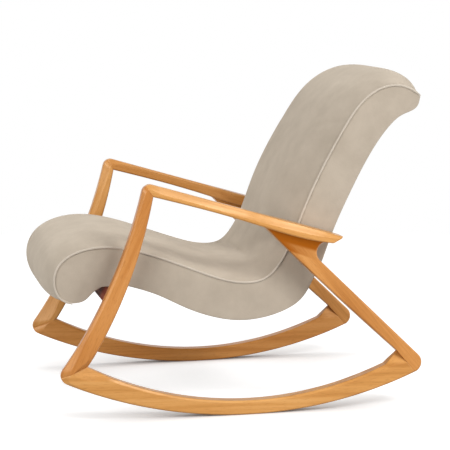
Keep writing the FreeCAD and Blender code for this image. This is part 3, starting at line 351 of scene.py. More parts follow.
# %% Edges of the rear leg
OVERRUN = 13.5
REAR_BOW = 3.4
HEEL_POINTS = 60
leaving = -left_of(unit(flare_end - flare_centre))
beyond = flare_end + leaving * OVERRUN / (leaving @ into_arm)
rear_outside = np.concatenate([
    arc(sole_end, heel_round[1], heel_round[2], HEEL_POINTS),
    evenly(np.array([heel_round[2], flare_start]), 60)[1:-1], flare_arc, beyond[None]])
rear_opening = bowed(rear_inner, rear_top, REAR_BOW)
heading = unit(rear_opening[-1] - rear_opening[-4])
let_in = rear_opening[-1] + heading * OVERRUN / (heading @ into_arm)
rear_opening = np.concatenate([rear_opening, let_in[None]])
print("rear leg: outside", length(rear_outside).round(1), "mm, opening",
      length(rear_opening).round(1), "mm")

# %% [markdown]
# The members are planed and spokeshaved from square stock: wide facets at the corners of the
# frame fade to a small bevel between.  A cube with a Bevel modifier has one width of bevel for a
# whole edge, so a member is built instead as a stack of cross-sections.  Every section is an
# octagon, a rectangle whose four corners are planed off by as much as the member's table says
# there.

# %% Octagon sections
SOFT = (3, 4)
LOW_MITRE = ((12, 26), (16, 54), (14, 40), (5, 10))
TOP_MITRE = ((8, 12), (12, 22), SOFT, SOFT)


def station(outside, opening, bevels, x_in=INNER_X, x_out=OUTER_X):
    """One line of a member's table: how far along each edge it stands, its inner and outer face,
    and its four bevels: outer and inner face at the outside edge, then the same at the opening.
    A bevel is a width across the chair and a depth in the plane of the frame."""
    return [outside, opening, x_in, x_out, *np.ravel(bevels)]


def octagons(table, outside, opening):
    """Each corner is a distance across the chair and a depth down from the outside edge, and the
    depth runs along the straight line to the opening's edge."""
    top, low = along(outside, table[:, 0]), along(opening, table[:, 1])
    wide = np.linalg.norm(low - top, axis=1)
    x_in, x_out = table[:, 2], table[:, 3]
    cut_across, cut_down = table[:, 4::2].T, table[:, 5::2].T
    across = np.stack([x_in + cut_across[1], x_out - cut_across[0], x_out, x_out,
                       x_out - cut_across[2], x_in + cut_across[3], x_in, x_in])
    depth = np.stack([0 * wide, 0 * wide, cut_down[0], wide - cut_down[2], wide, wide,
                      wide - cut_down[3], cut_down[1]])
    return across.T, depth.T, top, (low - top) / wide[:, None]


print("a mitre at the foot has bevels of", LOW_MITRE)

# %% [markdown]
# Sandpaper and oil leave no knife edge.  The corners of each octagon are eased by a small curve,
# so that every arris catches a soft line of light.  This is done in the section, before there is
# a mesh, because it keeps the strips of the arris in step along the whole member.

# %% Eased arrises
EASED, MOST_OF_SIDE = 1.7, 0.46


def eased(corners, radius, samples=5):
    """Corners c of closed polygons (n, k, 2) replaced by parabolas: (1-t)^2 a + 2t(1-t) c + t^2 b,
    with a and b on the two sides, `radius` from the corner or less than half a short side."""
    before = np.roll(corners, 1, axis=1) - corners
    after = np.roll(corners, -1, axis=1) - corners
    start, end = (corners + side * np.minimum(
        radius / np.linalg.norm(side, axis=2, keepdims=True), MOST_OF_SIDE)
        for side in (before, after))
    t = np.linspace(0.0, 1.0, samples)[None, None, :, None]
    curve = ((1 - t) ** 2 * start[:, :, None] + 2 * t * (1 - t) * corners[:, :, None]
             + t**2 * end[:, :, None])
    return curve.reshape(len(corners), -1, 2)


print("every arris is eased by", EASED, "mm")

# %% [markdown]
# Now the stack itself.  The table is read at many places, closer together near the ends where the
# facets turn fast, and always at the table's own lines.  At a joint the last ring is drawn in by
# a fraction of a millimetre.  That leaves the hair-fine groove by which the eye tells two glued
# members from one.

# %% Rings of a member
JOINT_GROOVE, HALF_SECTION = 0.5, 18.0


def member_rings(outside, opening, stations, count=150, grooved=(True, True)):
    """Rings of points (n, k, 3) in millimetres, one for each section.  In the plane of the frame
    a point is the outside edge's point plus its depth times the direction to the opening."""
    table = np.array(stations, float)
    knots = (table[:, 0] + table[:, 1]) / 2
    u = np.unique(np.concatenate([knots[-1] * crowded(count), knots]).round(3))
    across, depth, top, down = octagons(glide(knots, table, u), outside, opening)
    flat = eased(np.stack([across, depth], axis=-1), EASED)
    plane = top[:, None] + down[:, None] * flat[..., 1:]
    rings = np.concatenate([flat[..., :1], plane], axis=-1)
    for end, wanted in zip((0, -1), grooved):
        if wanted:
            middle = rings[end].mean(axis=0)
            rings[end] = middle + (rings[end] - middle) * (1 - JOINT_GROOVE / HALF_SECTION)
    return rings


print("a joint's last ring is drawn in by", JOINT_GROOVE, "mm")

# %% [markdown]
# The front leg is a sabre shape, bowed forward.  Its bevels open into wide facets at the foot and
# at the head, where it turns the corner into the rocker and the arm, and fade between.  A profile
# swept along a curve would have the same bevels from end to end.  Nine lines of a table say where
# they open and close.

# %% Front leg
leg_run, leg_inner_run = length(leg_outside), length(leg_opening)
front_leg = member_rings(leg_outside, leg_opening, [
    station(0, 0, LOW_MITRE),
    station(24, 6, ((10, 22), (16, 46), (10, 24), (4, 7))),
    station(75, 28, ((7, 14), (16, 34), (5, 8), SOFT)),
    station(120, 62, ((5, 8), (15, 26), SOFT, SOFT)),
    station(0.5 * leg_run, 0.46 * leg_inner_run, ((5, 7), (12, 14), SOFT, SOFT)),
    station(leg_run - 100, leg_inner_run - 82, ((4, 6), (12, 15), SOFT, SOFT)),
    station(leg_run - 44, leg_inner_run - 32, ((6, 8), (12, 20), SOFT, SOFT)),
    station(leg_run - 18, leg_inner_run - 10, ((7, 10), (12, 22), SOFT, SOFT)),
    station(leg_run, leg_inner_run, TOP_MITRE),
])
print("front leg", front_leg.shape, "along the front", round(leg_run), "mm")

# %% [markdown]
# The rocker starts at the same mitre, thins to its middle, and ends in a shoulder that stands
# square to the rear leg, with deep bevels on both lower arrises of the butt.  It could be
# laminated from bent strips, but then fine glue lines would follow the curve.  This one is sawn
# from a board: the grain runs straight and the curve is cut out of it.

# %% Rocker
BUTT_BEVELS = ((4, 5), (4, 5), (15, 42), (15, 42))
SOLE_BEVELS = (SOFT, SOFT, (4, 6), (4, 6))
sole_run, shoulder_run = length(rocker_outside), length(rocker_opening) - SHOULDER
butt_starts = sole_run - 1.1 * SHOULDER
rocker = member_rings(rocker_outside, rocker_opening, [
    station(0, 0, LOW_MITRE),
    station(24, 6, ((5, 8), (8, 16), (14, 38), (5, 10))),
    station(72, 30, (SOFT, (4, 6), (12, 28), (4, 8))),
    station(124, 70, (SOFT, SOFT, (5, 8), (4, 6))),
    station(0.5 * sole_run, 0.47 * shoulder_run, SOLE_BEVELS),
    station(butt_starts - 90, shoulder_run - 80, SOLE_BEVELS),
    station(butt_starts, shoulder_run, (SOFT, SOFT, (6, 12), (6, 12))),
    station(sole_run, shoulder_run + SHOULDER, BUTT_BEVELS),
], count=220)
print("rocker", rocker.shape, "along the sole", round(sole_run), "mm")

# %% [markdown]
# The rear leg is the plainest member: a slim bar with small bevels all the way.  Its shape is in
# its two edges.  A bar with a Bevel modifier would nearly do.  It is stacked from sections like
# the others, because its rings are wanted later, when the cove is cut.

# %% Rear leg
ALL_SOFT = (SOFT,) * 4
rear_run, rear_inner_run = length(rear_outside), length(rear_opening)
heel_run = travelled(rear_outside)[HEEL_POINTS - 1]
rear_leg = member_rings(rear_outside, rear_opening, [
    station(outside, opening, ALL_SOFT) for outside, opening in (
        (0, 0), (heel_run, 16), (heel_run + 60, 46), (heel_run + 150, 118),
        (rear_run - 190, rear_inner_run - 260), (rear_run, rear_inner_run))
], count=220, grooved=(True, False))
print("rear leg", rear_leg.shape, "along the rear", round(rear_run), "mm")

# %% [markdown]
# The arm is a slim rail in front and widens behind into a paddle for the elbow, more towards the
# seat than outwards.  It is cut from one wide board, so that no joint is felt under the hand.
# The paddle could be a second shape joined to a rail.  As two more columns of the same table it
# is one surface, and a smooth step lets both faces leave the rail without a corner.

# %% Arm
PADDLE_IN, PADDLE_OUT, PADDLE_START, PADDLE_FULL = 26.0, 13.0, 0.50, 0.80
OUTSIDE_START, OUTSIDE_FULL = PADDLE_START - 0.08, PADDLE_FULL - 0.04
ARM_BEVELS = ((10, 20), SOFT, SOFT, SOFT)


def smooth_step(part, start, full):
    """0 before start, 1 after full, and 3 s^2 - 2 s^3 between."""
    s = min(max((part - start) / (full - start), 0.0), 1.0)
    return s * s * (3 - 2 * s)


def arm_station(part, bevels):
    """A section of the arm that share of the way along, as wide as the paddle is there."""
    return station(length(arm_outside) * part, length(arm_underside) * part, bevels,
                   INNER_X - PADDLE_IN * smooth_step(part, PADDLE_START, PADDLE_FULL),
                   OUTER_X + PADDLE_OUT * smooth_step(part, OUTSIDE_START, OUTSIDE_FULL))


arm = member_rings(arm_outside, arm_underside, [
    station(0, 0, TOP_MITRE),
    station(18, 9, ((9, 16), (8, 16), SOFT, SOFT)),
    station(44, 32, ((10, 20), (4, 7), SOFT, SOFT)),
    *[arm_station(part, ARM_BEVELS)
      for part in (0.2, 0.35, PADDLE_START, 0.57, 0.65, 0.73, PADDLE_FULL)],
    arm_station(0.9, ((9, 18), SOFT, SOFT, SOFT)),
    arm_station(1.0, ((4, 8), SOFT, SOFT, SOFT)),
], count=170, grooved=(True, False))
print("arm", arm.shape, "along the top", length(arm_outside).round(1), "mm")

# %% [markdown]
# The paddle's rear corners are rounded in plan with a radius.  A boolean cut would leave ragged
# strips on such a dense mesh, so the points themselves are moved: each goes towards the middle of
# the arm by what a circle of that radius takes off at its distance from the tip.

# %% Round corners of the paddle
PADDLE_CORNER = 20.0
short = np.clip(PADDLE_CORNER - (arm_tip - arm[..., 1:]) @ arm_way, 0.0, PADDLE_CORNER)
taken = PADDLE_CORNER - np.sqrt(PADDLE_CORNER**2 - short**2)
half_paddle = (STOCK + PADDLE_IN + PADDLE_OUT) / 2
paddle_middle = INNER_X - PADDLE_IN + half_paddle
arm[..., 0] = paddle_middle + (arm[..., 0] - paddle_middle) * (1 - taken / half_paddle)
print("width of the paddle", 2 * half_paddle, "mm")

# %% [markdown]
# Under the paddle, the outer face of the rear leg is coved outwards to meet the paddle's edge, as
# a carver would hollow it with a gouge.  A boolean with a round cutter would do the same and
# break the mesh up.  The points of the leg's outer face are pushed out instead, by a quarter of
# an ellipse that starts upright at COVE_Z: width times (1 - sqrt(1 - t^2)), with t the share of
# the height up to the arm.  FLAT_END keeps it short of its last, level bit.

# %% Cove under the arm
COVE_Z, COVE_MARGIN, FLAT_END = 436.0, 2.0, 0.98
leg_y, leg_z = rear_leg[..., 1], rear_leg[..., 2]
under_z = np.interp(leg_y, arm_underside[:, 0], arm_underside[:, 1])
t = np.clip((leg_z - COVE_Z) / (under_z - COVE_Z), 0.0, 1.0)
edge_y = (arm[..., 1].max(axis=1) + arm[..., 1].min(axis=1)) / 2
overhang = np.interp(leg_y, edge_y, arm[..., 0].max(axis=1)) - OUTER_X
outer = np.clip((rear_leg[..., 0] - INNER_X) / STOCK, 0.0, 1.0) ** 2
hollowed = 1 - np.sqrt(1 - FLAT_END * t**2)
rear_leg[..., 0] += outer * (overhang - COVE_MARGIN).clip(0.0) * hollowed
print("the leg is coved out by up to", (rear_leg[..., 0].max() - OUTER_X).round(1), "mm")

# %% [markdown]
# The cove lies in the shade of the arm, and that shade is painted into the wood.  It could be a
# mask painted by hand.  How far a point lies in the cove is known here already, so it is kept as a
# number from 0 to 1 for the material to read: a smooth step upwards, on the outer face only.

# %% Where the cove's shade is painted
BELOW, FADE = 7.0, 11.0
FACE, FACE_FADE = 0.9, 0.08
# Painted shade of the cove: a mask from 0 to 1 that rises up the leg's outer face under the arm.
rising = np.clip((leg_z - COVE_Z + BELOW) / FADE, 0.0, 1.0)
cove_shade_mask = rising**2 * (3 - 2 * rising) * np.clip((outer - FACE) / FACE_FADE, 0.0, 1.0)
print((cove_shade_mask > 0.5).sum(), "points lie in the cove")

# %% [markdown]
# Now the points become meshes.  They could be built face by face with bmesh, but whole arrays
# handed over at once are quicker.  A mesh can also carry numbers of its own on every point,
# called attributes, and a material can read them by name.  Edges sharper than 38 degrees stay
# crisp and the rest are shaded smooth.

# %% From points to a mesh
CRISP = math.radians(38)


def new_piece(name, points, faces, **marks):
    """A mesh object at the origin with its faces outwards.  Each mark is a number or a vector for
    every point, and becomes an attribute of that name."""
    mesh = bpy.data.meshes.new(name)
    mesh.from_pydata(points.tolist(), [], faces)
    shape = bmesh.new()
    shape.from_mesh(mesh)
    bmesh.ops.recalc_face_normals(shape, faces=shape.faces)
    shape.to_mesh(mesh)
    shape.free()
    for mark, values in marks.items():
        kind, field = ("FLOAT_VECTOR", "vector") if values.ndim == 2 else ("FLOAT", "value")
        mesh.attributes.new(mark, kind, "POINT").data.foreach_set(field, values.ravel())
    mesh.polygons.foreach_set("use_smooth", np.ones(len(mesh.polygons), bool))
    mesh.set_sharp_from_angle(angle=CRISP)
    piece = bpy.data.objects.new(name, mesh)
    bpy.context.scene.collection.objects.link(piece)
    return piece


print("edges sharper than", round(math.degrees(CRISP)), "degrees stay crisp")

# %% [markdown]
# A member is sawn from a board, and its grain runs on from face to face.  A texture laid on each
# face would break at every arris.  So every point is told where it lies in the board, and the
# wood material looks there.

# %% Skin over the rings
def skin(name, rings, board_start=(0, 0, 0), **marks):
    """A closed mesh over rings of points: quads between rings, one flat face at each end.  The
    mark "board" says where a point lies in the board it was sawn from, in metres: along, across
    and through the straight line between the member's two ends."""
    n, k = rings.shape[:2]
    at = np.arange(n * k).reshape(n, k)
    quads = np.stack([at[:-1], np.roll(at[:-1], -1, 1), np.roll(at[1:], -1, 1), at[1:]], axis=-1)
    faces = quads.reshape(-1, 4).tolist() + [at[0, ::-1].tolist(), at[-1].tolist()]
    points = rings.reshape(-1, 3) * MM
    foot, head = rings[0].mean(axis=0) * MM, rings[-1].mean(axis=0) * MM
    way = unit((head - foot)[1:])
    flat = points[:, 1:] - foot[1:]
    board = np.stack([flat @ way, flat @ left_of(way), points[:, 0]], axis=-1)
    return new_piece(name, points, faces, board=board + np.array(board_start), **marks)


print("a rocker has", rocker[..., 0].size, "points to skin over")

# %% [markdown]
# Both side frames come from the same four members.  A Mirror modifier would make the second frame
# too, but with the very same grain.  The points are mirrored instead, and every member is sawn from
# its own place in the board, so no two match.  Every member also has its own paleness, set to how
# light or shaded it looks: partly the board's own tone and partly painted light and shade, with the
# far frame's rocker and arm darker and the near frame's lighter.
#
# A planed facet is flat, but smooth shading bends its light towards the neighbours.  The Weighted
# Normal modifier lets large faces win, and the facets look flat between soft arrises again.

# %% Side frames
# The last numbers are the paleness per side: partly each board's own tone, partly painted light and
# shade.
members = {"front_leg": (front_leg, 0.0, {"left": 0.1, "right": 0.7}),
           "rocker": (rocker, 1.3, {"left": 1.0, "right": 0.3}),
           "rear_leg": (rear_leg, 2.9, {"left": 0.4, "right": 0.6}),
           "arm": (arm, 4.1, {"left": 1.0, "right": 0.4})}
NEXT_BOARD = 7.7             # metres of board between the left frame's pieces and the right's
frames = []
for name, (rings, place, tone_and_shade) in members.items():
    for side, sign, further in (("left", 1.0, 0.0), ("right", -1.0, NEXT_BOARD)):
        start = (place + further) * np.array([1.0, 0.37, 0.61])
        marks = {"board_tone_and_shade": np.full(rings[..., 0].size, tone_and_shade[side])}
        # Only the rear leg carries the cove's painted shade.
        if name == "rear_leg":
            marks["hollow"] = cove_shade_mask.ravel()
        piece = skin(f"{side}_{name}_wood", rings * np.array([sign, 1.0, 1.0]), start, **marks)
        facets = piece.modifiers.new("flat facets", "WEIGHTED_NORMAL")
        facets.keep_sharp = True
        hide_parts(f"{side}_{name}")
        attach(piece, "root")
        frames.append(piece)
print(len(frames), "members,", sum(len(p.data.polygons) for p in frames), "faces")

# %% [markdown]
# The cushion is one long sleeve of cloth over foam: a wrap over nose, seat, back and head, and a
# flat panel on each side.  It could be pulled out of a subdivided box by eye.  But the panel, the
# wrap and the welt must all meet in one seam, so the seam comes first: from under the nose, along
# the seat, up the back and over the head roll.  It is a batten line again, through points that an
# upholsterer would mark on the panel.

# %% Seam of the cushion
HALF = 280.0
top_seam = through([
    (-466, 305), (-494, 318), (-512, 356), (-500, 405), (-452, 438), (-362, 448), (-244, 420),
    (-126, 375), (-17, 343), (50, 351), (100, 401), (151, 514), (208, 640), (271, 753),
    (329, 829), (392, 861), (446, 856), (481, 834)], 241)
print("seam", round(length(top_seam)), "mm")

# %% [markdown]
# The panel's lower edge runs back from the head to the nose: behind the back, under the seat and
# under the nose, with two flats between, where the cushion rests on a cross rail.  One batten
# through all the pins would round the flats off, so each curve has its own.

# %% Lower edge of the side panel
behind = through([(481, 834), (473, 806), (433, 785), (399, 758), (341, 678), (287, 576),
                  (243, 480), (211, 393)], 100)
belly = through([(184, 341), (167, 309), (142, 282), (112, 265), (45, 245), (-22, 241),
                 (-93, 254), (-167, 282), (-242, 319), (-322, 346)], 100)
nose = through([(-388, 346), (-412, 331), (-434, 311), (-466, 305)], 40)
rear_flat = evenly(np.array([behind[-1], belly[0]]), 9)[1:]
front_flat = evenly(np.array([belly[-1], nose[0]]), 9)[1:]
lower_line = np.concatenate([behind, rear_flat, belly[1:], front_flat, nose[1:]])[::-1]
lower_seam = evenly(lower_line, len(top_seam))
print("lower edge", round(length(lower_line)), "mm")

# %% [markdown]
# Filling stands proud of the seams: the wrap is lifted from the seam along its normal, most in the
# middle of the chair and not at all at the seam.  How high it rises changes along the seam, from
# nothing at the two ends to most behind the sitter's back.  It could be sculpted, but a table
# keeps the rise where it can be read and changed.

# %% Rise of the wrap
RISE = np.array([(0.0, 0), (0.02, 20), (0.053, 31), (0.10, 38), (0.16, 38), (0.28, 32),
                 (0.38, 38), (0.46, 52), (0.52, 57), (0.60, 57), (0.70, 59), (0.82, 53),
                 (0.90, 44), (0.945, 42), (0.975, 41), (0.992, 30), (1.0, 0)], float)


def rise_along(share):
    """Cubics through the table.  The slope at a knot is that of the straight line between its two
    neighbours, and an end has its mirror image for a neighbour."""
    knots, values = RISE.T
    wide = np.concatenate([[2 * knots[0] - knots[1]], knots, [2 * knots[-1] - knots[-2]]])
    high = np.concatenate([[2 * values[0] - values[1]], values, [2 * values[-1] - values[-2]]])
    slope = (high[2:] - high[:-2]) / (wide[2:] - wide[:-2])
    return hermite(knots, values[:, None], slope[:, None], share)[:, 0]


print("the wrap rises up to", rise_along(np.linspace(0, 1, 200)).max().round(1), "mm")

# %% [markdown]
# The wrap and the underneath are grids of the same size, one over the seam and one over the lower
# edge.  A plain grid would waste its points on the middle.  Here they lie closer together near
# the seams and at the two ends, where the cloth turns.  The lift across the chair is
# rise * (1 - (x / half width)^4): nearly level in the middle, and quick to fall at the seam.

# %% Wrap and underneath
LONG, WIDE, DEEP = 161, 55, 17
PUFF = 1.0                   # about what the stuffing will add to the rise
END_SHARE = 0.03             # how much of the seam belongs to each end
CROWDED_ASIDE = 1.2
share = crowded(LONG, 0.5)
seam = along(top_seam, share * length(top_seam))
below = along(lower_seam, share * length(lower_seam))
out_of_seam = left_of(unit(np.gradient(seam, axis=0)))
off_ends = np.clip(np.minimum(share, 1 - share) / END_SHARE, 0.0, 1.0)
x = HALF * np.sin(np.linspace(-1, 1, WIDE) * CROWDED_ASIDE) / math.sin(CROWDED_ASIDE)
lift = (rise_along(share) - PUFF * off_ends)[:, None] * (1 - (x / HALF) ** 4)[None]
side_view = seam[:, None] + out_of_seam[:, None] * lift[..., None]
across = np.broadcast_to(x[None, :, None], (LONG, WIDE, 1))
wrap = np.concatenate([across, side_view], axis=-1)
under = np.concatenate([across, np.broadcast_to(below[:, None], (LONG, WIDE, 2))], axis=-1)
print("wrap", wrap.shape, "highest point", wrap[..., 2].max().round(1), "mm")

# %% [markdown]
# A side panel is one flat piece of cloth, cut along its two edges.  A single large face would
# fill that outline, but it could not swell.  The panel is ruled between its edges instead, with
# DEEP points down each straight line.

# %% Side panels
down = np.linspace(0.0, 1.0, DEEP)[None, :, None]
panel = seam[:, None] * (1 - down) + below[:, None] * down
sides = [np.concatenate([np.full((LONG, DEEP, 1), edge), panel], axis=-1)
         for edge in (-HALF, HALF)]
print("side panel", panel.shape)

# %% [markdown]
# A cover is fixed where it is sewn and where it is stapled, and free between.  That could be
# painted on.  From the distance to the seam it follows by itself: for every point a number says
# how firmly it is held, 1 at a seam, at the two ends and underneath, fading to 0 within a
# finger's width of the seam.

# %% How firmly the cover is held
SEAM_GRIP, PANEL_GRIP, FIRM = 12.0, 10.0, 1.2
panel_depth = np.linalg.norm(below - seam, axis=1)[:, None]
from_edge = np.minimum(down[..., 0], 1 - down[..., 0]) * panel_depth
end_hold = 1 - off_ends[:, None]
wrap_hold = np.maximum(np.clip(FIRM - (HALF - np.abs(x)) / SEAM_GRIP, 0, 1)[None], end_hold)
panel_hold = np.maximum(np.clip(FIRM - from_edge / PANEL_GRIP, 0, 1), end_hold)
patches = [wrap, under, *sides]
holds = [wrap_hold, np.ones((LONG, WIDE)), panel_hold, panel_hold]
print("free points of the wrap", (wrap_hold == 0).sum())

# %% [markdown]
# The four patches are sewn into one closed skin.  Blender's Merge by Distance would do it, but
# then nobody would know which point is which.  Here all points that lie on the same spot become
# one, and it keeps the firmest hold among them.  Where the panels taper to nothing, a quad has
# lost a corner and becomes a triangle.

# %% Sew the cushion
def grid_faces(n, k, start):
    """The quads of an n by k grid of points that are numbered from `start`."""
    at = np.arange(n * k).reshape(n, k) + start
    return np.stack([at[:-1, :-1], at[1:, :-1], at[1:, 1:], at[:-1, 1:]], axis=-1).reshape(-1, 4)


points = np.concatenate([patch.reshape(-1, 3) for patch in patches])
starts = np.cumsum([0] + [patch[..., 0].size for patch in patches])
faces = np.concatenate([grid_faces(*patch.shape[:2], start)
                        for patch, start in zip(patches, starts)])
_, first, index = np.unique(points.round(2), axis=0, return_index=True, return_inverse=True)
held = np.zeros(len(first))
np.maximum.at(held, index.ravel(), np.concatenate([hold.ravel() for hold in holds]))
corners = [list(dict.fromkeys(face)) for face in index.ravel()[faces].tolist()]
cushion = new_piece("cushion_cover", points[first] * MM,
                    [face for face in corners if len(face) > 2])
print("cushion", len(first), "points,", len(cushion.data.polygons), "faces")

# %% [markdown]
# Simulated cloth reads what is held from a vertex group.  A group is filled one weight at a time,
# so the holds are gathered into four grips.

# %% Grips
def hold_group(piece, held):
    """A vertex group of four grips, 0.25 to 1: a point takes the next grip above its hold."""
    group = piece.vertex_groups.new(name="held")
    for grip in (0.25, 0.5, 0.75, 1.0):
        chosen = np.nonzero(np.abs(np.ceil(held * 4) / 4 - grip) < 0.01)[0]
        group.add(chosen.tolist(), grip, "REPLACE")
    return group.name


print((held > 0.75).sum(), "points of the cushion are held fast")

# %% [markdown]
# Stuffing pushes on a cover from inside.  A drawn surface shows nothing of that, and sculpting it
# by hand would be another shape each time.  So the cover is blown up as cloth: held at its seams,
# pressed from inside, without gravity.  A few steps are enough for the soft swell between the
# seams.  The result is read back as plain points, so nothing has to be simulated again later.

# %% Inflate the cover
PRESSURE, FURTHEST = 4.0, 6 * MM
CLOTH_STIFFNESS = 40


def inflate(piece, held, pressure, cap, frames=16):
    """Cloth with pressure and no gravity.  A point's travel d is eased to cap * tanh(d / cap), so
    none goes further than the cap."""
    rest = np.zeros(len(piece.data.vertices) * 3)
    piece.data.vertices.foreach_get("co", rest)
    grips = hold_group(piece, held)
    cloth = piece.modifiers.new("stuffing", "CLOTH")
    cloth.settings.vertex_group_mass = grips
    cloth.settings.use_pressure = True
    cloth.settings.uniform_pressure_force = pressure
    cloth.settings.tension_stiffness = cloth.settings.compression_stiffness = CLOTH_STIFFNESS
    cloth.settings.effector_weights.gravity = 0
    cloth.point_cache.frame_end = frames
    for frame_number in range(1, frames + 1):
        bpy.context.scene.frame_set(frame_number)
    blown = piece.evaluated_get(bpy.context.evaluated_depsgraph_get()).to_mesh()
    moved = np.zeros(len(rest))
    blown.vertices.foreach_get("co", moved)
    piece.modifiers.remove(cloth)
    bpy.context.scene.frame_set(1)
    travel = (moved - rest).reshape(-1, 3)
    far = np.linalg.norm(travel, axis=1, keepdims=True)
    travel *= cap * np.tanh(far / cap) / np.maximum(far, 1e-9)
    piece.data.vertices.foreach_set("co", (rest.reshape(-1, 3) + travel).ravel())
    piece.data.update()
    print("cover moved", (far.max() * 1000).round(1), "mm before the cap, mean",
          (far.mean() * 1000).round(2))


inflate(cushion, held, PRESSURE, FURTHEST)

# %% [markdown]
# One level of Subdivision Surface rounds what is left of the grid.  It is the same in the view and
# in the render.  The cover stands for all the CAD pieces that it hides: the panels it is cut from,
# and the foam that fills it.

# %% The finished cushion
subdivided = cushion.modifiers.new("smooth", "SUBSURF")
subdivided.levels = subdivided.render_levels = 1
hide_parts("top_cover", "underside_panel", "left_side_panel", "right_side_panel",
            "foam_core")
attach(cushion, "root")
print("the cushion will have about", 8 * len(cushion.data.polygons), "triangles")

# %% [markdown]
# The welt is a thin cord sewn into the seam in a strip of the same cloth.  It hides the stitches
# and draws the line that gives the chair its shape.  A curve with a bevel could make it, but its
# ends would have to be pinched by hand.  Here it is a tube of rings along the seam, set a little
# outwards, and it wavers in thickness by a few hundredths as hand work does.

# %% Path and thickness of the welt
WELT = 2.8
WELT_OUT, WELT_ASIDE = 0.6 * WELT, 0.4 * WELT
WELT_TAPER = 26.0
LONG_WAVE, SHORT_WAVE = 17.0, 7.3
welt_path = evenly(top_seam, 420)
welt_path = welt_path + left_of(unit(np.gradient(welt_path, axis=0))) * WELT_OUT
run = travelled(welt_path)
thick = WELT * (1 + 0.03 * np.sin(run / LONG_WAVE) + 0.02 * np.sin(run / SHORT_WAVE + 1.0))
thick = thick * np.clip(0.35 + np.minimum(run, run[-1] - run) / WELT_TAPER, 0.0, 1.0)
print("welt", round(length(welt_path)), "mm long,", thick.min().round(2), "to",
      thick.max().round(2), "mm in radius")

# %% [markdown]
# The tube's rings stand square to the path: cosine across the chair, sine along the path's normal.
# The right welt is the left one mirrored; on so thin a cord nobody sees that they match.

# %% Welts
def tube(path, radius, sides=14):
    """Rings round a line in the plane X = 0: radius * cosine of the angle across the chair, and
    the line's point plus radius * sine of the angle along its normal."""
    normal = left_of(unit(np.gradient(path, axis=0)))
    round_it = np.linspace(0, 2 * math.pi, sides, endpoint=False)
    rings = np.zeros((len(path), sides, 3))
    rings[..., 0] = radius[:, None] * np.cos(round_it)
    lifted = radius[:, None] * np.sin(round_it)
    rings[..., 1:] = path[:, None] + normal[:, None] * lifted[..., None]
    return rings


welt_rings = tube(welt_path, thick) + np.array([HALF + WELT_ASIDE, 0.0, 0.0])
for side, sign in (("left", 1.0), ("right", -1.0)):
    welt = skin(f"{side}_welt_cord", welt_rings * np.array([sign, 1.0, 1.0]))
    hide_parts(f"{side}_welt")
    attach(welt, "root")
print("two welts of", len(welt.data.polygons), "faces")

# %% [markdown]
# Materials next.  Colours are written as a paint program shows them, in sRGB hex, but light adds
# up in linear numbers, so one function turns them.

# %% Colours
def linear(code):
    """sRGB hex to linear light: below 0.04045 a straight line, above it a power of 2.4."""
    value = np.array([int(code[k:k + 2], 16) for k in (1, 3, 5)]) / 255
    value = np.where(value <= 0.04045, value / 12.92, ((value + 0.055) / 1.055) ** 2.4)
    return (*value.tolist(), 1.0)


print("middle grey on a screen is", round(linear("#808080")[0], 3), "of full light")

# %% [markdown]
# A material could be wired by hand in the shader editor.  Written down, it can be read and changed
# like a recipe.  One small function adds a node with its settings and its links, and that keeps a
# whole finish on one page.  Sockets that share a name are called by number: in a Mix of colours
# 0 is the factor and 6 and 7 are the colours, in a Map Range 1 to 4 are from and to.

# %% Nodes
def plug(tree, node, inputs):
    """Sockets by name or number: a socket of another node is linked, the rest are values."""
    for key, value in inputs.items():
        if isinstance(value, bpy.types.NodeSocket):
            tree.links.new(value, node.inputs[key])
        else:
            node.inputs[key].default_value = value


def add(tree, kind, inputs=None, stops=(), **settings):
    """A node of that kind with its settings and its inputs.  `stops` are the places and the hex
    colours of a colour ramp."""
    node = tree.nodes.new("ShaderNode" + kind)
    for name, value in settings.items():
        setattr(node, name, value)
    plug(tree, node, inputs or {})
    for _ in stops[2:]:
        node.color_ramp.elements.new(0.5)
    for k, (place, code) in enumerate(stops):
        node.color_ramp.elements[k].position = place
        node.color_ramp.elements[k].color = linear(code)
    return node


def new_material(name):
    """An empty material, its node tree and its shader."""
    material = bpy.data.materials.new(name)
    material.use_nodes = True
    return material, material.node_tree, material.node_tree.nodes["Principled BSDF"]


print("finishes are wanted for", len(frames) + 3, "new pieces and for what the CAD brings")

# %% [markdown]
# The side frames are an open-grained hardwood, planed, sanded and oiled.  Grain runs along each
# member and shows as three things of very different size: figure, pores and a slow change of
# warmth.  A wood picture could be projected on, but it would stretch round the bevels.  Noise in
# the board's own coordinates goes right through the wood, as grain does: squeezed along the
# board, its blobs become streaks.

# %% Grain of a board
def per_metre(mm):
    """Noise scale for blobs about that many millimetres wide: 1000 divided by it."""
    return 1000 / mm


# A band of figure is about 14 mm wide and nearly half a metre long.  Real pores are a few tenths
# of a millimetre wide; they are drawn 1.1 mm wide, which is as fine as still shows.
FIGURE_LONG, FIGURE_WIDE = 455, 14.3
PORE_LONG, PORE_WIDE = 22.2, 1.11
WANDER, WANDER_SIZE = 0.012, 333
WARMTH_SIZE = 435


def bent_grain(tree, board):
    """Board coordinates pushed aside by WANDER times a slow noise: no grain is dead straight."""
    wander = add(tree, "TexNoise", {"Vector": board, "Scale": per_metre(WANDER_SIZE),
                                    "Detail": 2.0})
    aside = add(tree, "VectorMath", {0: wander.outputs["Color"], 1: (0.5, 0.5, 0.5)},
                operation="SUBTRACT")
    return add(tree, "VectorMath", {0: aside.outputs[0], 1: (0.0, WANDER, WANDER), 2: board},
               operation="MULTIPLY_ADD").outputs[0]


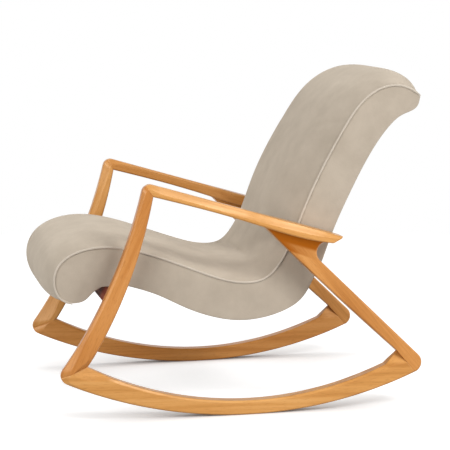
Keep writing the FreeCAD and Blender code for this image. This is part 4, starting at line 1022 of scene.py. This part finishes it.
def streaks(tree, grain, long, wide, **noise):
    """Noise whose blobs are `long` mm along the board and `wide` mm across it."""
    squeeze = (per_metre(long), per_metre(wide), per_metre(wide))
    where = add(tree, "VectorMath", {0: grain, 1: squeeze}, operation="MULTIPLY").outputs[0]
    return add(tree, "TexNoise", {"Vector": where, "Scale": 1.0, **noise}).outputs["Fac"]


print("figure scale", round(per_metre(FIGURE_WIDE), 1), "per metre; pores",
      round(per_metre(PORE_WIDE), 1))

# %% [markdown]
# The wood's colour goes from a dark streak over the body to a light streak.  The pores then darken
# it in fine dashes, and a tint per member tones it all: partly a paler or warmer board, partly
# painted light and shade.

# %% Colour of a board
PORE_STRENGTH = 0.55


def wood_colour(tree, figure, pores, board, tones, tone_and_shade_tint):
    """Figure and warmth mixed 6 to 4 and read as a colour, times the pores, times the tint."""
    warmth = add(tree, "TexNoise", {"Vector": board, "Scale": per_metre(WARMTH_SIZE),
                                    "Detail": 1.0})
    most = add(tree, "Math", {0: figure, 1: 0.6}, operation="MULTIPLY")
    both = add(tree, "Math", {0: warmth.outputs["Fac"], 1: 0.4, 2: most.outputs[0]},
               operation="MULTIPLY_ADD")
    body = add(tree, "ValToRGB", {0: both.outputs[0]}, tuple(zip((0.34, 0.50, 0.66), tones)))
    dashes = add(tree, "ValToRGB", {0: pores}, ((0.30, "#C9B49C"), (0.42, "#FFFFFF")))
    colour = add(tree, "Mix", {0: PORE_STRENGTH, 6: body.outputs[0], 7: dashes.outputs[0]},
                 data_type="RGBA", blend_type="MULTIPLY")
    # The tint per member is partly a board's own tone and partly painted light and shade.
    if tone_and_shade_tint:
        board_tone_and_shade = add(tree, "Attribute", attribute_name="board_tone_and_shade").outputs["Fac"]
        tint = add(tree, "Mix", {0: board_tone_and_shade, 6: linear(tone_and_shade_tint), 7: linear("#FFFFFF")},
                   data_type="RGBA")
        colour = add(tree, "Mix", {0: 1.0, 6: colour.outputs[2], 7: tint.outputs[2]},
                     data_type="RGBA", blend_type="MULTIPLY")
    return colour.outputs[2]


print("pores darken by", PORE_STRENGTH)

# %% [markdown]
# Oil is wiped on and rubbed off, so it leaves only a thin satin film: soft lights that show every
# facet, and no hard mirror.  Its IOR is 1.42, a little below that of a lacquer, and it is rougher
# where the figure is dense.  A clear coat could stand for it, but the eye sees one surface here.
# Its reflection takes a little of the wood's own warmth.

# %% Wood under a thin film
FILM_IOR, FILM_WARMTH = 1.42, "#FFE8CC"


def wood(name, tones, find_board, roughness, tone_and_shade_tint=None):
    """tones: dark streak, body, light streak.  find_board gives the socket of the coordinates."""
    material, tree, shader = new_material(name)
    board = find_board(tree)
    grain = bent_grain(tree, board)
    figure = streaks(tree, grain, FIGURE_LONG, FIGURE_WIDE, Detail=3.0, Roughness=0.55)
    pores = streaks(tree, grain, PORE_LONG, PORE_WIDE, Detail=2.0)
    satin = add(tree, "MapRange", {0: figure, 1: 0.3, 2: 0.7, 3: roughness + 0.06,
                                   4: roughness - 0.05})
    dents = add(tree, "Bump", {"Strength": 0.12, "Distance": 0.6 * MM, "Height": pores})
    plug(tree, shader, {"Base Color": wood_colour(tree, figure, pores, board, tones, tone_and_shade_tint),
                        "Roughness": satin.outputs[0], "Normal": dents.outputs[0],
                        "Specular Tint": linear(FILM_WARMTH), "IOR": FILM_IOR})
    return material, tree, shader


def sawn_board(tree):
    """The place in the board that every point of a side frame carries with it."""
    return add(tree, "Attribute", attribute_name="board").outputs["Vector"]


oiled, oiled_tree, oiled_shader = wood("oiled_hardwood", ("#B87C3C", "#CE9350", "#DEA664"),
                                       sawn_board, 0.30, "#EDD8C4")
for piece in frames:
    piece.data.materials.append(oiled)
print("oiled hardwood on", len(frames), "members")

# %% [markdown]
# In the cove the arm's shade is painted in: the colour is darker there, and the film's reflection
# is tinted dark so that hardly any of it shows.  A separate material with its own faces would show
# a hard edge, so one material reads how far a point lies in the cove, and mixes.

# %% Painted shade in the cove
grain_colour = oiled_shader.inputs["Base Color"].links[0].from_socket
# Painted shade: where the cove mask says so, the colour darkens and the reflection is tinted dark.
hollow = add(oiled_tree, "Attribute", attribute_name="hollow").outputs["Fac"]
shaded_cove_colour = add(oiled_tree, "Mix", {0: hollow, 6: grain_colour, 7: linear("#9E5614")},
             data_type="RGBA")
shaded_cove_reflection = add(oiled_tree, "Mix", {0: hollow, 6: linear(FILM_WARMTH), 7: linear("#6A3000")},
             data_type="RGBA")
plug(oiled_tree, oiled_shader, {"Base Color": shaded_cove_colour.outputs[2],
                                "Specular Tint": shaded_cove_reflection.outputs[2]})
print("oiled hardwood has", len(oiled_tree.nodes), "nodes")

# %% [markdown]
# The two cross rails are the same kind of wood under a dark red-brown stain, brushed on and left
# without oil, so they are duller.  Their tones are as dark as the rails look in the shade under the
# seat: partly the stain and partly painted shade.  The seat frame inside is birch plywood, peeled
# veneers that were glued and sanded: pale, dull and hardly figured.  Both could have recipes of
# their own, but the same one with other tones is enough for what shows.  They are CAD pieces and
# carry no board with them, so the object's own X stands for the board's length.

# %% Rails in stain and painted shade, and plywood
def board_across_chair(tree):
    """Board coordinates of a rail: the object's own, whose X is the rail's length."""
    return add(tree, "TexCoord").outputs["Object"]


# The rails' tones are partly a dark stain and partly painted shade from under the seat.
rail_stain_and_shade = wood("rail_wood_stain_and_shade", ("#5A1C0C", "#702812", "#863618"), board_across_chair, 0.45)[0]
birch = wood("birch_plywood", ("#C49A66", "#D8B484", "#E4C69C"), board_across_chair, 0.6)[0]
print("two more woods:", rail_stain_and_shade.name, birch.name)

# %% [markdown]
# The cover is a brushed flat-weave in warm oatmeal: a woven cloth whose surface has been raised
# to a short nap.  Its yarns, half a millimetre apart, are too fine to show, so they are drawn at
# 1.1 mm as a faint grain in the bump.  What the eye does see is the nap: soft cloudy patches
# where it lies one way or the other, and no highlight at all.  The raised fibres send light back
# to where it came from, so the cushion looks flat in tone even where it turns away.  Diffuse
# Roughness does that, and a breath of sheen lights its rim.

# %% Brushed upholstery cloth
CLOUD_SIZE, FLECK_SIZE, YARN_SIZE = 71.4, 1.92, 1.11     # nap as it lies, slubs, yarns


def cloth_material(name, low, body, high):
    """Eight parts of clouds and two of fleck, read as a colour."""
    material, tree, shader = new_material(name)
    where = add(tree, "TexCoord").outputs["Object"]
    clouds = add(tree, "TexNoise", {"Vector": where, "Scale": per_metre(CLOUD_SIZE), "Detail": 5.0,
                                    "Roughness": 0.62}).outputs["Fac"]
    fleck = add(tree, "TexNoise", {"Vector": where, "Scale": per_metre(FLECK_SIZE), "Detail": 2.0})
    yarns = add(tree, "TexNoise", {"Vector": where, "Scale": per_metre(YARN_SIZE), "Detail": 1.0})
    most = add(tree, "Math", {0: clouds, 1: 0.8}, operation="MULTIPLY")
    both = add(tree, "Math", {0: fleck.outputs["Fac"], 1: 0.2, 2: most.outputs[0]},
               operation="MULTIPLY_ADD")
    colour = add(tree, "ValToRGB", {0: both.outputs[0]}, ((0.36, low), (0.5, body), (0.64, high)))
    fine = add(tree, "Bump", {"Strength": 0.25, "Distance": 0.6 * MM,
                              "Height": yarns.outputs["Fac"]})
    soft = add(tree, "Bump", {"Strength": 0.35, "Distance": 3 * MM, "Height": clouds,
                              "Normal": fine.outputs[0]})
    plug(tree, shader, {"Base Color": colour.outputs[0], "Normal": soft.outputs[0],
                        "Roughness": 0.88, "Diffuse Roughness": 0.8, "Specular IOR Level": 0.15,
                        "Sheen Weight": 0.04, "Sheen Roughness": 0.45,
                        "Sheen Tint": linear("#F4E8D8")})
    return material


cloth = cloth_material("brushed_oatmeal_cloth", "#B7AB9B", "#BCB0A0", "#C1B5A5")
cushion.data.materials.append(cloth)
print("clouds of", CLOUD_SIZE, "mm on", cushion.name)

# %% [markdown]
# The welt's cord gets the same cloth a shade lighter than the cushion beside it: a painted
# highlight for the light that its round top catches along the seam.

# %% Cloth on the welts
# Painted highlight: the welt's cloth is a shade lighter than the cushion's.
welt_cloth_lightened = cloth_material("cloth_on_cord_painted_lighter", "#C6BCAE", "#CBC1B3", "#D0C6B8")
for name in ("left_welt_cord", "right_welt_cord"):
    bpy.data.objects[name].data.materials.append(welt_cloth_lightened)
print("welts covered in", welt_cloth_lightened.name)

# %% [markdown]
# What stays inside the cushion or the joints keeps its CAD shape and gets a plain finish of its
# own kind, a mottle between two tones.  Bolts and screws are steel, zinc plated in a bath, which
# leaves a soft mirror with patches a finger wide: metallic, with the default IOR.  Beech pegs are
# turned and left bare, softwood slats are planed, and both are dull, with blotches of 11 and
# 25 mm.  The webbing is woven from rubber threads, nearly black, with ribs of about 3 mm.

# %% Plain finishes
def plain(name, low, high, mottle, roughness, metallic=0.0):
    """One noise with blobs `mottle` mm wide, read as a colour between low and high."""
    material, tree, shader = new_material(name)
    where = add(tree, "TexCoord").outputs["Object"]
    noise = add(tree, "TexNoise", {"Vector": where, "Scale": per_metre(mottle), "Detail": 3.0})
    colour = add(tree, "ValToRGB", {0: noise.outputs["Fac"]}, ((0.35, low), (0.65, high)))
    plug(tree, shader, {"Base Color": colour.outputs[0], "Roughness": roughness,
                        "Metallic": metallic})
    return material


zinc = plain("bright_zinc", "#B4B6BA", "#D0D2D4", 16.7, 0.32, 1.0)
beech = plain("bare_beech", "#CFA67A", "#DDB88E", 11.1, 0.65)
softwood = plain("planed_softwood", "#D6B484", "#E6CBA0", 25, 0.7)
band = plain("elastic_band", "#2B2B2C", "#3C3C3E", 3.33, 0.85)
print("four plain finishes")

# %% [markdown]
# Every carried-over piece is named once, beside the finish that the real one has.

# %% Finishes of the carried-over pieces
finishes = (
    (rail_stain_and_shade, "front_cross_rail rear_cross_rail"),
    (birch, "seat_side_rail_left seat_side_rail_right"),
    (softwood, "nose_slat front_mount_slat hip_slat lumbar_slat head_slat"),
    (beech, "cross_rail_dowels rear_leg_dowels mitre_tenons"),
    (zinc, "seat_bolts seat_washers tee_nuts slat_screws"),
    (band, "seat_webbing back_webbing"),
)
for finish, names in finishes:
    for name in names.split():
        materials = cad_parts[name].data.materials
        materials.clear()
        materials.append(finish)
print("finishes given to", sum(len(names.split()) for _, names in finishes), "nodes")

# %% [markdown]
# The stage is a white floor with a soft shadow, as in a studio.  The easy way to a white floor is
# more light, but that would bleach the chair.  So the floor plays two parts.  To the rays that
# light the chair it is a middling grey.  To the camera, and in reflections, it is white paper
# with a glow of its own.  The glow fades where something is close above the floor, and that
# keeps the dark line where a rocker touches it.

# %% Floor
def seen_directly(tree):
    """1 for rays of the camera, and for those that reach a surface by a mirror or through glass."""
    rays = add(tree, "LightPath").outputs
    either = add(tree, "Math", {0: rays["Is Camera Ray"], 1: rays["Is Glossy Ray"]},
                 operation="MAXIMUM")
    return add(tree, "Math", {0: either.outputs[0], 1: rays["Is Transmission Ray"]},
               operation="MAXIMUM").outputs[0]


FLOOR_RADIUS, CLOSE_ABOVE, DEEPER, GLOW = 3.1, 0.16, 1.6, 0.60
bpy.ops.mesh.primitive_circle_add(vertices=96, radius=FLOOR_RADIUS, fill_type="NGON",
                                  location=(0, 0, 0))
floor = bpy.context.object
floor.name = "floor"
white, paint, grey = new_material("white_floor")
plug(paint, grey, {"Base Color": linear("#A2A2A2"), "Roughness": 0.9, "Specular IOR Level": 0.0})
paper_white = add(paint, "BsdfDiffuse", {"Color": linear("#E7E7E7")})
open_above = add(paint, "AmbientOcclusion", {"Distance": CLOSE_ABOVE}, samples=16)
deepened = add(paint, "Math", {0: open_above.outputs["AO"], 1: DEEPER}, operation="POWER")
strength = add(paint, "Math", {0: deepened.outputs[0], 1: GLOW}, operation="MULTIPLY")
glow = add(paint, "Emission", {"Color": linear("#FFFFFF"), "Strength": strength.outputs[0]})
lit = add(paint, "AddShader", {0: paper_white.outputs[0], 1: glow.outputs[0]})
shown = add(paint, "MixShader", {0: seen_directly(paint), 1: grey.outputs[0], 2: lit.outputs[0]})
plug(paint, paint.nodes["Material Output"], {"Surface": shown.outputs[0]})
floor.data.materials.append(white)
print("floor of", 2 * FLOOR_RADIUS, "m")

# %% [markdown]
# The surround plays the same two parts: plain white where it is seen, and a dim even light from
# all sides where it only lights the chair.

# %% Surround
world = bpy.data.worlds.new("studio")
bpy.context.scene.world = world
world.use_nodes = True
sky = world.node_tree
sky.nodes.clear()
dim = add(sky, "Background", {"Color": linear("#FFFFFF"), "Strength": 0.32})
plain_white = add(sky, "Background", {"Color": linear("#FFFFFF"), "Strength": 1.0})
surround = add(sky, "MixShader", {0: seen_directly(sky), 1: dim.outputs[0],
                                  2: plain_white.outputs[0]})
add(sky, "OutputWorld", {0: surround.outputs[0]})
print("surround", world.name)

# %% [markdown]
# Five square lamps, all of them large, because a large lamp makes a soft shadow.  The front and
# the rear softbox light the side that is seen, and meet on its flat faces.  The top lamp lifts
# the cushion and the arms.  The edge light comes from in front, for the bevels of the front leg.
# The low one reaches the rear leg and the rocker under the arm.  Together they light a face that
# looks at the camera so that a colour comes out about as it was written.

# %% Lamps
SEAT = (0, 0, 0.45)


def lamp(name, place, target, size, power):
    """A square lamp of that size in metres and power in watts that looks at the target."""
    light = bpy.data.lights.new(name, "AREA")
    light.shape, light.size, light.energy = "SQUARE", size, power
    holder = bpy.data.objects.new(name, light)
    holder.location = place
    holder.rotation_euler = (Vector(target) - Vector(place)).to_track_quat("-Z", "Y").to_euler()
    bpy.context.scene.collection.objects.link(holder)


lamp("top", (-1.4, -1.0, 5.0), SEAT, 1.8, 44.0)
lamp("front_softbox", (4.0, -3.3, 1.9), SEAT, 2.2, 80.0)
lamp("rear_softbox", (3.5, 2.4, 3.9), SEAT, 1.4, 108.0)
lamp("edge_light", (2.8, -4.1, 2.6), SEAT, 1.4, 68.0)
lamp("low_side_light", (2.2, 1.8, 0.7), (0.35, 0.45, 0.2), 0.8, 26.0)
print(len(bpy.data.lights), "lamps")

# %% [markdown]
# The camera is a long lens well over four metres off, which keeps the two side frames nearly the
# same size.  It stands a little above the seat, turned so that the chair is seen from its left
# side with the front just in view.  Three directions make its rotation: backwards along the line
# of sight, to the right, and up.

# %% Camera
EYE = Vector((4.63741, -1.02507, 1.13003))
YAW, PITCH = math.radians(12.516), math.radians(8.033)
back = Vector((math.cos(PITCH) * math.cos(YAW), -math.cos(PITCH) * math.sin(YAW), math.sin(PITCH)))
right = Vector((0, 0, 1)).cross(back).normalized()
up = back.cross(right)
lens = bpy.data.cameras.new("camera")
lens.sensor_width, lens.lens = 36.0, 136.0
camera = bpy.data.objects.new("camera", lens)
facing = Matrix((right, up, back)).transposed().to_4x4()
camera.matrix_world = Matrix.Translation(EYE) @ facing
bpy.context.scene.collection.objects.link(camera)
bpy.context.scene.camera = camera
bpy.context.scene.view_settings.view_transform = "Standard"
print("the camera is", round((EYE - Vector(SEAT)).length, 2), "m from the seat")
